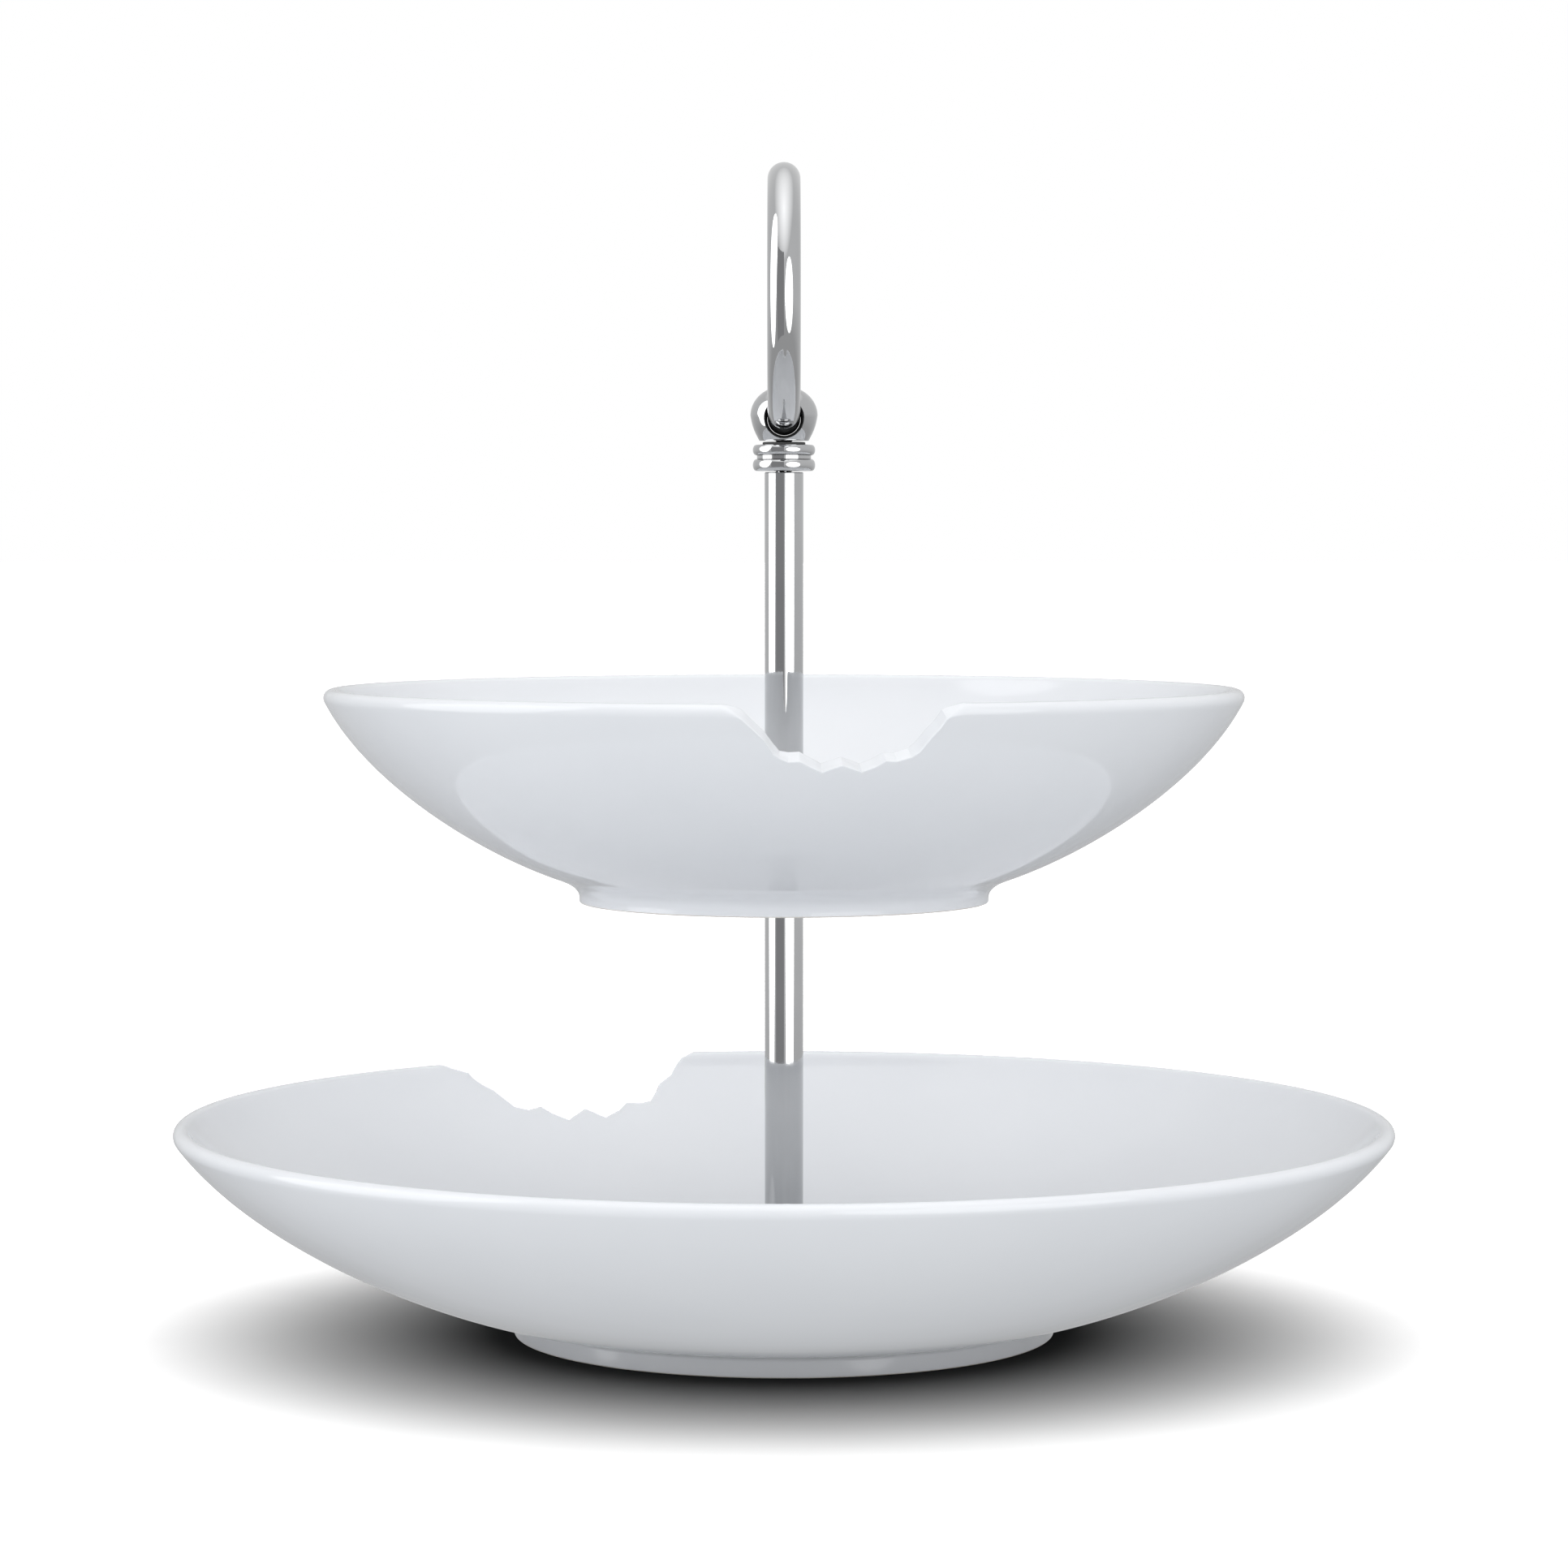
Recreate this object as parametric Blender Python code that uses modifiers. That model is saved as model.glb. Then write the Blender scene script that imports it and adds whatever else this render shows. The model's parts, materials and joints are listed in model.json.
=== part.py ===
"""Two-tier cake stand: porcelain bowls on a chromed mast, with a ring handle at the top.

Frame: the origin is the centre of the lower bowl's foot, on the surface it stands on.
+Z runs up the mast, and lengths are in metres. The lower bowl's rim notch is at the back (+Y side)
and the upper bowl's notch is at the front (-Y side).
"""

import math

import bpy
from mathutils import Vector

MM = 0.001

# Clearances
GAP = 0.3 * MM                   # between pieces that touch or thread together
FLOOR_CLEARANCE = 0.5 * MM       # least height of the base screw's head above the table

# Bowls: a turned wall, a low foot ring and a flat floor with a hole for the mast
WALL = 4.0 * MM
FOOT_WIDTH = 4.6 * MM
FOOT_EDGE = 0.7 * MM
COVE_ROUNDNESS = 0.35
HOLE_RADIUS = 5.0 * MM
FLOOR_THICKNESS = 4.4 * MM
FLOOR_FILLET = 8.0 * MM          # from the flat floor's edge to where the wall is full size
FLOOR_FILLET_RISE = 1.0 * MM

LOWER_BOWL = {
    "rim_radius": 140.0 * MM,
    "height": 49.4 * MM,
    "foot_radius": 62.3 * MM,
    "recess": 5.4 * MM,
    "base_overhang": 1.2 * MM,   # from the foot's side out to where the wall starts
    "base_height": 4.95 * MM,
    "cove_bottom": 3.6 * MM,     # where the hollow under the wall meets the foot's side
    "base_slope": 3.4,           # degrees from level where the wall starts
    "rim_slope": 53.2,           # degrees from level at the rim
    "base_reach": 13.7 * MM,     # how far the wall follows each slope
    "rim_reach": 30.8 * MM,
    "notch_azimuth": 114.0,      # degrees from +X, counterclockwise from above
}
UPPER_BOWL = {
    "rim_radius": 105.5 * MM,
    "height": 49.3 * MM,
    "foot_radius": 47.1 * MM,
    "recess": 5.4 * MM,
    "base_overhang": 5.6 * MM,
    "base_height": 5.7 * MM,
    "cove_bottom": 1.0 * MM,
    "base_slope": 19.3,
    "rim_slope": 62.8,
    "base_reach": 17.9 * MM,
    "rim_reach": 21.5 * MM,
    "notch_azimuth": -83.3,
}

# The notch's lower edge: degrees across (counterclockwise), and depth below the rim
NOTCH_OUTLINE = (
    (-13.8, 0.0 * MM),
    (-12.0, 2.7 * MM),
    (-10.0, 6.0 * MM),
    (-8.3, 10.8 * MM),
    (-6.8, 12.0 * MM),
    (-4.9, 12.0 * MM),
    (-2.1, 14.4 * MM),
    (0.2, 12.7 * MM),
    (2.8, 14.4 * MM),
    (5.4, 12.0 * MM),
    (7.4, 12.1 * MM),
    (9.2, 10.8 * MM),
    (10.8, 6.8 * MM),
    (12.2, 3.3 * MM),
    (13.9, 0.0 * MM),
)
NOTCH_HEADROOM = 6.0 * MM
NOTCH_INWARD = 30.0 * MM
NOTCH_OUTWARD = 12.0 * MM

# Mast
TUBE_RADIUS = 4.45 * MM
TUBE_WALL = 0.9 * MM
LOWER_TUBE_LENGTH = 89.3 * MM
UPPER_TUBE_LENGTH = 85.9 * MM
THREAD_RADIUS = 2.0 * MM
PLUG_LENGTH = 12.0 * MM
PLUG_INSET = 0.5 * MM
STUD_ENGAGEMENT = 9.5 * MM
POINT_CHAMFER = 0.5 * MM

# Washers, gaskets and the base screw
WASHER_RADIUS = 8.5 * MM
WASHER_THICKNESS = 1.2 * MM
GASKET_RADIUS = 9.0 * MM
GASKET_THICKNESS = 0.8 * MM
SCREW_LENGTH = 20.0 * MM
SCREW_HEAD_RADIUS = 5.2 * MM
SCREW_HEAD_RIM = 0.7 * MM
SCREW_SLOT_LENGTH = 12.0 * MM    # past both sides of the head
SCREW_SLOT_WIDTH = 1.2 * MM
SCREW_SLOT_DEPTH = 0.9 * MM

# Finial: collar with two beads, ball eye and ring
BEAD_RADIUS = 7.15 * MM
LOWER_BEAD_HEIGHT = 2.7 * MM
UPPER_BEAD_HEIGHT = 2.4 * MM
GROOVE_RADIUS = 6.2 * MM
GROOVE_HEIGHT = 0.9 * MM
NECK_RADIUS = 5.65 * MM
NECK_HEIGHT = 0.6 * MM
SPIGOT_ENGAGEMENT = 10.0 * MM
EYE_FLOOR = 0.25 * MM            # metal left under the bore at the neck's edge
EYE_SIDE_WALL = 3.95 * MM
EYE_TOP_WALL = 3.5 * MM
EYE_RISE = 0.8 * MM              # the ball's widest level above the ring's wire
RING_WIRE_RADIUS = 3.75 * MM
RING_RADIUS = 27.35 * MM         # to the middle of the wire

# Facets
BOWL_STEPS = 48
TUBE_STEPS = 24
SMALL_STEPS = 20
WALL_POINTS = 9
LIP_POINTS = 5
ARC_POINTS = 4
RING_STEPS = 48
WIRE_STEPS = 12
MERGE_DISTANCE = 0.05 * MM

PORCELAIN = ("porcelain", (0.86, 0.87, 0.88), 0.12, 0.0)
CHROME = ("chrome", (0.78, 0.79, 0.81), 0.05, 1.0)
STEEL = ("steel", (0.60, 0.60, 0.61), 0.30, 1.0)
BRASS = ("brass", (0.78, 0.62, 0.33), 0.28, 1.0)
RUBBER = ("rubber", (0.05, 0.05, 0.05), 0.75, 0.0)


# ---------------------------------------------------------------- scene and shape helpers

def clear_scene():
    for scene_object in list(bpy.data.objects):
        bpy.data.objects.remove(scene_object, do_unlink=True)


def new_collection(name):
    collection = bpy.data.collections.new(name)
    bpy.context.scene.collection.children.link(collection)
    return collection


def make_material(finish, part_name):
    """Each part has a material of its own."""
    finish_name, colour, roughness, metallic = finish
    material = bpy.data.materials.new(f"{part_name}_{finish_name}")
    material.use_nodes = True
    shader = material.node_tree.nodes["Principled BSDF"]
    shader.inputs["Base Color"].default_value = (*colour, 1.0)
    shader.inputs["Roughness"].default_value = roughness
    shader.inputs["Metallic"].default_value = metallic
    return material


def add_part(part, finish, collection):
    part.data.materials.append(make_material(finish, part.name))
    collection.objects.link(part)
    return part


def turned(name, outline, steps, closed=True):
    """Revolve an outline of (radius, height) points about Z.

    The outline runs down its outer side, and an open one starts and ends on the axis.
    """
    mesh = bpy.data.meshes.new(name)
    edges = [(i, i + 1) for i in range(len(outline) - 1)]
    if closed:
        edges.append((len(outline) - 1, 0))
    mesh.from_pydata([(radius, 0.0, height) for radius, height in outline], edges, [])
    piece = bpy.data.objects.new(name, mesh)
    screw = piece.modifiers.new("Turn", "SCREW")
    screw.axis = "Z"
    screw.angle = math.tau
    screw.steps = steps
    screw.render_steps = steps
    screw.use_merge_vertices = True
    screw.merge_threshold = MERGE_DISTANCE
    screw.use_smooth_shade = True
    return piece


def cut(piece, cutter):
    boolean = piece.modifiers.new("Cut", "BOOLEAN")
    boolean.operation = "DIFFERENCE"
    boolean.solver = "EXACT"
    boolean.object = cutter


def as_cutter(cutter, collection):
    cutter.hide_render = True
    cutter.display_type = "WIRE"
    collection.objects.link(cutter)
    return cutter


def sleeve(name, inner, outer, bottom, top, steps=TUBE_STEPS):
    """A plain ring or tube."""
    outline = [(outer, top), (outer, bottom), (inner, bottom), (inner, top)]
    return turned(name, outline, steps)


def bezier(start, start_handle, end_handle, end, count):
    """Points of a cubic curve, both ends included."""
    points = []
    for i in range(count):
        t = i / (count - 1)
        s = 1.0 - t
        point = s**3 * start + 3 * s * s * t * start_handle + 3 * s * t * t * end_handle + t**3 * end
        points.append(point)
    return points


def direction(degrees):
    return Vector((math.cos(math.radians(degrees)), math.sin(math.radians(degrees))))


def arc(centre, radius, first, last, count):
    """Points of an arc between two angles in degrees, both ends included."""
    return [centre + radius * direction(first + (last - first) * i / (count - 1)) for i in range(count)]


# ---------------------------------------------------------------- levels up the mast

LAYER = GASKET_THICKNESS + WASHER_THICKNESS + 3 * GAP


def floor_top(bowl):
    """Height of a bowl's floor above its own foot."""
    return bowl["recess"] + FLOOR_THICKNESS


LOWER_TUBE_BOTTOM = floor_top(LOWER_BOWL) + LAYER
LOWER_TUBE_TOP = LOWER_TUBE_BOTTOM + LOWER_TUBE_LENGTH
UPPER_FOOT = LOWER_TUBE_TOP + LAYER - UPPER_BOWL["recess"]
UPPER_TUBE_BOTTOM = UPPER_FOOT + floor_top(UPPER_BOWL) + LAYER
UPPER_TUBE_TOP = UPPER_TUBE_BOTTOM + UPPER_TUBE_LENGTH
COLLAR_BOTTOM = UPPER_TUBE_TOP + GAP
COLLAR_HEIGHT = LOWER_BEAD_HEIGHT + GROOVE_HEIGHT + UPPER_BEAD_HEIGHT + NECK_HEIGHT
EYE_BOTTOM = COLLAR_BOTTOM + COLLAR_HEIGHT + GAP
BORE_RADIUS = THREAD_RADIUS + GAP


def eye_bore_radius(offset):
    """Radius that the ring's curved wire sweeps at an offset along the bore, with clearance."""
    inner_edge = math.sqrt((RING_RADIUS - RING_WIRE_RADIUS) ** 2 - offset * offset)
    return RING_RADIUS - inner_edge + GAP


WIRE_LEVEL = EYE_BOTTOM + EYE_FLOOR + eye_bore_radius(NECK_RADIUS)


# ---------------------------------------------------------------- bowls

def bowl_outline(bowl, foot_level):
    """Closed section of a bowl: down the outside, across the foot and floor, up the inside."""
    rim_slope = bowl["rim_slope"]
    outward = direction(rim_slope - 90.0)
    lip_centre = Vector((bowl["rim_radius"] - WALL / 2, bowl["height"] - WALL / 2))
    wall_end = lip_centre + outward * WALL / 2
    wall_start = Vector((bowl["foot_radius"] + bowl["base_overhang"], bowl["base_height"]))
    start_handle = wall_start + direction(bowl["base_slope"]) * bowl["base_reach"]
    end_handle = wall_end - direction(rim_slope) * bowl["rim_reach"]
    outer = bezier(wall_start, start_handle, end_handle, wall_end, WALL_POINTS)

    lip = arc(lip_centre, WALL / 2, rim_slope + 90.0, rim_slope - 90.0, LIP_POINTS)
    foot_inner = bowl["foot_radius"] - FOOT_WIDTH
    cove_end = Vector((bowl["foot_radius"], bowl["cove_bottom"]))
    cove_handle = COVE_ROUNDNESS * (wall_start - cove_end).length
    cove = bezier(
        wall_start,
        wall_start - direction(bowl["base_slope"]) * cove_handle,
        cove_end + Vector((0.0, cove_handle)),
        cove_end,
        ARC_POINTS,
    )
    foot = [
        Vector((bowl["foot_radius"], FOOT_EDGE)),
        Vector((bowl["foot_radius"] - FOOT_EDGE, 0.0)),
        Vector((foot_inner + FOOT_EDGE, 0.0)),
        Vector((foot_inner, FOOT_EDGE)),
        Vector((foot_inner, bowl["recess"])),
        Vector((HOLE_RADIUS, bowl["recess"])),
        Vector((HOLE_RADIUS, floor_top(bowl))),
    ]
    inner = inner_wall(outer, floor_top(bowl))
    points = lip + outer[-2::-1] + cove[1:] + foot + inner[:-1]
    return [(point.x, point.y + foot_level) for point in points]


def inner_wall(outer, floor):
    """The outer curve moved in by the wall's thickness, from the floor up to the rim."""
    inner = []
    for i, point in enumerate(outer):
        before = outer[max(i - 1, 0)]
        after = outer[min(i + 1, len(outer) - 1)]
        along = (after - before).normalized()
        moved = point + WALL * Vector((-along.y, along.x))
        if moved.y > floor + FLOOR_FILLET_RISE:
            inner.append(moved)
    first = inner[0]
    flat_end = Vector((first.x - FLOOR_FILLET, floor))
    return [flat_end] + inner


def notch_cutter(name, bowl, foot_level, collection):
    """A radial block whose lower side is the notch's outline."""
    rim_radius = bowl["rim_radius"]
    rim = foot_level + bowl["height"]
    lower_side = []
    for degrees, depth in NOTCH_OUTLINE:
        lower_side.append((-rim_radius * math.sin(math.radians(degrees)), 0.0, rim - depth))
    top = rim + NOTCH_HEADROOM
    corners = [(lower_side[-1][0], 0.0, top), (lower_side[0][0], 0.0, top)]
    outline = lower_side + corners
    mesh = bpy.data.meshes.new(name)
    mesh.from_pydata(outline, [], [tuple(range(len(outline)))])
    cutter = bpy.data.objects.new(name, mesh)
    block = cutter.modifiers.new("Block", "SOLIDIFY")
    block.thickness = NOTCH_INWARD + NOTCH_OUTWARD
    block.offset = 0.0
    azimuth = math.radians(bowl["notch_azimuth"])
    middle = rim_radius + (NOTCH_OUTWARD - NOTCH_INWARD) / 2
    cutter.location = (middle * math.cos(azimuth), middle * math.sin(azimuth), 0.0)
    cutter.rotation_euler = (0.0, 0.0, azimuth - math.pi / 2)
    return as_cutter(cutter, collection)


def make_bowl(name, bowl, foot_level, parts, cutters):
    piece = turned(name, bowl_outline(bowl, foot_level), BOWL_STEPS)
    cut(piece, notch_cutter(name + "_notch", bowl, foot_level, cutters))
    add_part(piece, PORCELAIN, parts)


# ---------------------------------------------------------------- mast

def make_seat(names, bowl_level, bowl, above, parts):
    """Gasket against the bowl's floor and washer against the gasket, above or below the floor."""
    gasket_name, washer_name = names
    if above:
        gasket_bottom = bowl_level + floor_top(bowl) + GAP
        washer_bottom = gasket_bottom + GASKET_THICKNESS + GAP
    else:
        gasket_bottom = bowl_level + bowl["recess"] - GAP - GASKET_THICKNESS
        washer_bottom = gasket_bottom - GAP - WASHER_THICKNESS
    gasket = sleeve(gasket_name, BORE_RADIUS, GASKET_RADIUS, gasket_bottom, gasket_bottom + GASKET_THICKNESS)
    washer = sleeve(washer_name, BORE_RADIUS, WASHER_RADIUS, washer_bottom, washer_bottom + WASHER_THICKNESS)
    add_part(gasket, RUBBER, parts)
    add_part(washer, STEEL, parts)


def make_bush(name, bowl_level, bowl, parts):
    bottom = bowl_level + bowl["recess"]
    bush = sleeve(name, BORE_RADIUS, HOLE_RADIUS - GAP, bottom, bottom + FLOOR_THICKNESS, SMALL_STEPS)
    add_part(bush, RUBBER, parts)


def make_tube(name, bottom, top, parts):
    add_part(sleeve(name, TUBE_RADIUS - TUBE_WALL, TUBE_RADIUS, bottom, top), CHROME, parts)


def make_plug(name, bottom, parts):
    outer = TUBE_RADIUS - TUBE_WALL - GAP
    add_part(sleeve(name, BORE_RADIUS, outer, bottom, bottom + PLUG_LENGTH, SMALL_STEPS), BRASS, parts)


def make_joint_stud(parts):
    bottom = LOWER_TUBE_TOP - PLUG_INSET - STUD_ENGAGEMENT
    top = UPPER_TUBE_BOTTOM + PLUG_INSET + STUD_ENGAGEMENT
    outline = [
        (0.0, top),
        (THREAD_RADIUS - POINT_CHAMFER, top),
        (THREAD_RADIUS, top - POINT_CHAMFER),
        (THREAD_RADIUS, bottom + POINT_CHAMFER),
        (THREAD_RADIUS - POINT_CHAMFER, bottom),
        (0.0, bottom),
    ]
    add_part(turned("joint_stud", outline, SMALL_STEPS, closed=False), STEEL, parts)


def make_base_screw(parts, cutters):
    """Round-headed screw with a slot, pointing up into the lower tube."""
    head_top = LOWER_BOWL["recess"] - LAYER
    head_height = head_top - FLOOR_CLEARANCE
    tip = head_top + SCREW_LENGTH
    outline = [
        (0.0, tip),
        (THREAD_RADIUS - POINT_CHAMFER, tip),
        (THREAD_RADIUS, tip - POINT_CHAMFER),
        (THREAD_RADIUS, head_top),
        (SCREW_HEAD_RADIUS, head_top),
        (SCREW_HEAD_RADIUS, head_top - SCREW_HEAD_RIM),
    ]
    dome_height = head_height - SCREW_HEAD_RIM
    for i in range(1, ARC_POINTS):
        turn = 0.5 * math.pi * i / (ARC_POINTS - 1)
        radius = SCREW_HEAD_RADIUS * math.cos(turn) if i < ARC_POINTS - 1 else 0.0
        outline.append((radius, head_top - SCREW_HEAD_RIM - dome_height * math.sin(turn)))
    screw = turned("base_screw", outline, SMALL_STEPS, closed=False)
    bpy.ops.mesh.primitive_cube_add(size=1.0)
    slot = bpy.context.object
    slot.name = "base_screw_slot"
    slot.dimensions = (SCREW_SLOT_LENGTH, SCREW_SLOT_WIDTH, 2 * SCREW_SLOT_DEPTH)
    slot.location = (0.0, 0.0, FLOOR_CLEARANCE)
    for collection in list(slot.users_collection):
        collection.objects.unlink(slot)
    as_cutter(slot, cutters)
    cut(screw, slot)
    add_part(screw, STEEL, parts)


# ---------------------------------------------------------------- finial and ring

def bead(bottom, height):
    """Points of a rounded bead, top to bottom, between the groove's radius and its own."""
    middle = bottom + height / 2
    points = []
    for i in range(2 * ARC_POINTS - 1):
        turn = math.pi * (0.5 - i / (2 * ARC_POINTS - 2))
        radius = GROOVE_RADIUS + (BEAD_RADIUS - GROOVE_RADIUS) * math.cos(turn)
        points.append((radius, middle + height / 2 * math.sin(turn)))
    return points


def make_collar(parts):
    groove_bottom = COLLAR_BOTTOM + LOWER_BEAD_HEIGHT
    groove_top = groove_bottom + GROOVE_HEIGHT
    neck_bottom = groove_top + UPPER_BEAD_HEIGHT
    neck_top = neck_bottom + NECK_HEIGHT
    outline = [(NECK_RADIUS, neck_top), (NECK_RADIUS, neck_bottom)]
    outline += bead(groove_top, UPPER_BEAD_HEIGHT)
    outline += bead(COLLAR_BOTTOM, LOWER_BEAD_HEIGHT)
    outline += [(BORE_RADIUS, COLLAR_BOTTOM), (BORE_RADIUS, neck_top)]
    add_part(turned("finial_collar", outline, TUBE_STEPS), CHROME, parts)


def make_eye(parts, cutters):
    """Ball that narrows to the neck, with a flared cross bore and a threaded spigot."""
    middle = WIRE_LEVEL + EYE_RISE
    radius = RING_WIRE_RADIUS + EYE_SIDE_WALL
    top = WIRE_LEVEL + RING_WIRE_RADIUS + GAP + EYE_TOP_WALL
    steps = 2 * ARC_POINTS
    outline = [(0.0, top)]
    for i in range(1, steps + 1):
        turn = 0.5 * math.pi * (1.0 - i / steps)
        outline.append((radius * math.cos(turn), middle + (top - middle) * math.sin(turn)))
    outline.append((NECK_RADIUS, EYE_BOTTOM))
    spigot_bottom = UPPER_TUBE_TOP - PLUG_INSET - SPIGOT_ENGAGEMENT
    outline += [
        (THREAD_RADIUS, EYE_BOTTOM),
        (THREAD_RADIUS, spigot_bottom + POINT_CHAMFER),
        (THREAD_RADIUS - POINT_CHAMFER, spigot_bottom),
        (0.0, spigot_bottom),
    ]
    eye = turned("finial_eye", outline, TUBE_STEPS, closed=False)

    reach = radius + 2 * GAP
    bore = [(0.0, reach)]
    for i in range(2 * steps + 1):
        offset = reach * (1.0 - i / steps)
        bore.append((eye_bore_radius(offset), offset))
    bore.append((0.0, -reach))
    cutter = turned("finial_eye_bore", bore, TUBE_STEPS, closed=False)
    cutter.location = (0.0, 0.0, WIRE_LEVEL)
    cutter.rotation_euler = (math.pi / 2, 0.0, 0.0)
    as_cutter(cutter, cutters)
    cut(eye, cutter)
    add_part(eye, CHROME, parts)


def make_ring(parts):
    """Ring in the YZ plane; its origin is on the bore's axis, where it swings."""
    bpy.ops.mesh.primitive_torus_add(
        major_radius=RING_RADIUS,
        minor_radius=RING_WIRE_RADIUS,
        major_segments=RING_STEPS,
        minor_segments=WIRE_STEPS,
    )
    ring = bpy.context.object
    ring.name = "ring_handle"
    for vertex in ring.data.vertices:
        across, along, up = vertex.co
        vertex.co = (-up, along, across + RING_RADIUS)
    ring.location = (0.0, 0.0, WIRE_LEVEL)
    ring.data.shade_smooth()
    for collection in list(ring.users_collection):
        collection.objects.unlink(ring)
    add_part(ring, CHROME, parts)


# ---------------------------------------------------------------- assembly

def main():
    clear_scene()
    parts = new_collection("tiered_cake_stand")
    cutters = new_collection("cutters")

    make_bowl("lower_bowl", LOWER_BOWL, 0.0, parts, cutters)
    make_bowl("upper_bowl", UPPER_BOWL, UPPER_FOOT, parts, cutters)

    make_seat(("base_gasket", "base_washer"), 0.0, LOWER_BOWL, False, parts)
    make_seat(("lower_bowl_gasket", "lower_bowl_washer"), 0.0, LOWER_BOWL, True, parts)
    make_seat(("upper_bowl_under_gasket", "upper_bowl_under_washer"), UPPER_FOOT, UPPER_BOWL, False, parts)
    make_seat(("upper_bowl_gasket", "upper_bowl_washer"), UPPER_FOOT, UPPER_BOWL, True, parts)
    make_bush("lower_bowl_bush", 0.0, LOWER_BOWL, parts)
    make_bush("upper_bowl_bush", UPPER_FOOT, UPPER_BOWL, parts)

    make_tube("lower_tube", LOWER_TUBE_BOTTOM, LOWER_TUBE_TOP, parts)
    make_tube("upper_tube", UPPER_TUBE_BOTTOM, UPPER_TUBE_TOP, parts)
    make_plug("lower_tube_foot_plug", LOWER_TUBE_BOTTOM + PLUG_INSET, parts)
    make_plug("lower_tube_head_plug", LOWER_TUBE_TOP - PLUG_INSET - PLUG_LENGTH, parts)
    make_plug("upper_tube_foot_plug", UPPER_TUBE_BOTTOM + PLUG_INSET, parts)
    make_plug("upper_tube_head_plug", UPPER_TUBE_TOP - PLUG_INSET - PLUG_LENGTH, parts)
    make_joint_stud(parts)
    make_base_screw(parts, cutters)

    make_collar(parts)
    make_eye(parts, cutters)
    make_ring(parts)


main()
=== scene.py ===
"""Looks of the tiered cake stand: fine surfaces, materials, studio light and camera.

Lengths are in metres in the part's own frame, with +Z up the mast.
"""

import json
import math

import bpy
import numpy as np
from mathutils import Matrix, Vector

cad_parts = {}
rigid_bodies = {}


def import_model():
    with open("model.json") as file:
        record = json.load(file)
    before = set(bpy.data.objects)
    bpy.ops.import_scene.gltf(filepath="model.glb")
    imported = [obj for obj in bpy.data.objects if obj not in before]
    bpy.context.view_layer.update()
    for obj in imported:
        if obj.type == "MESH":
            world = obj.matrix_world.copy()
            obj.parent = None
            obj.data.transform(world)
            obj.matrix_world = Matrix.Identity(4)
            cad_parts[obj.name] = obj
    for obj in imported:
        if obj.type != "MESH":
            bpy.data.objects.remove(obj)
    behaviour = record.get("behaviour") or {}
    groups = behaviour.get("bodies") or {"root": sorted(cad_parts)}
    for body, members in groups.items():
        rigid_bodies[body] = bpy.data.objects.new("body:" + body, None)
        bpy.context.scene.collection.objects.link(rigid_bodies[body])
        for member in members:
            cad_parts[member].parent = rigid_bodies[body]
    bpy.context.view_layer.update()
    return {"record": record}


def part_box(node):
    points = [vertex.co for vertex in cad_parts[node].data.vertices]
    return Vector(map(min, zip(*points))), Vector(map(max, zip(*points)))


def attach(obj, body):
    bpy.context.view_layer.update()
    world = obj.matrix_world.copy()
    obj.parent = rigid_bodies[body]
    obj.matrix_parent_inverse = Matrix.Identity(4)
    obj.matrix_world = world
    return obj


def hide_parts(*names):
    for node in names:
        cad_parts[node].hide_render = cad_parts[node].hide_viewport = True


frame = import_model()

MM = 0.001
SEED = 7
SHARP = 32.0                     # degrees between faces, over which an edge is drawn sharp

# Bowls
WALL = 4.0 * MM
FOOT_WIDTH = 4.6 * MM
FOOT_EDGE = 0.8 * MM
COVE_ROUNDNESS = 0.35
HOLE_RADIUS = 5.0 * MM
HOLE_CHAMFER = 0.5 * MM
LEAST_RUN_DOWN = 6.0             # degrees at which the inner wall meets the floor, at least
FLOOR_THICKNESS = 4.4 * MM
BREAK_EDGE = 0.35 * MM           # rounding of the glazed edges in the notch
BREAK_TILT = 0.45 * MM           # how far a broken facet leans
BREAK_RIPPLE = 0.10 * MM
RIPPLE_WAVES = 6
FLOOR_BLEND = 2.4 * MM
BARE_HEIGHT = 0.25 * MM          # the foot ring is unglazed up to here
CURVE_POINTS = 400
OUTER_ROWS = 64
ROW_CROWDING = 0.35              # how much closer the outer wall's rows are at the rim
INNER_ROWS = 110
COVE_STEPS = 12
LIP_STEPS = 9
LIP_PLACES = (-0.6, -0.2, 0.2, 0.6)
LARGEST_ROUNDING = 0.97          # share of the wall's half thickness that the lip's arcs may take
BOWL_SHARP = 24.0
FINE_COLUMN = 0.4                # degrees between the mesh's columns in and beside a notch
COARSE_COLUMN = 1.25             # and elsewhere

LOWER_BOWL = {
    "node": "lower_bowl",
    "body": "base",
    "foot_radius": 62.3 * MM,
    "recess": 5.4 * MM,
    "base_overhang": 1.2 * MM,
    "base_height": 4.95 * MM,
    "cove_bottom": 3.6 * MM,
    "base_slope": 3.4,
    "rim_slope": 53.2,
    "base_reach": 13.7 * MM,
    "rim_reach": 30.8 * MM,
    "notch_azimuth": 114.0,
    "notch_side": "inner",
    "notch": (
        (-14.2, 0), (-12.8, 1.1), (-12.1, 2.7), (-11.3, 5.0), (-9.7, 7.2), (-9.4, 8.6),
        (-8.3, 10.8), (-7.0, 11.5), (-5.4, 11.2), (-4.3, 12.7), (-2.2, 14.2), (-0.1, 12.0),
        (2.5, 14.3), (4.3, 12.6), (5.3, 11.0), (7.0, 11.6), (8.6, 10.8), (10.3, 6.6),
        (11.3, 5.2), (12.1, 3.7), (12.4, 2.1), (14.6, 0.5), (15.2, 0),
    ),
}
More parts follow.
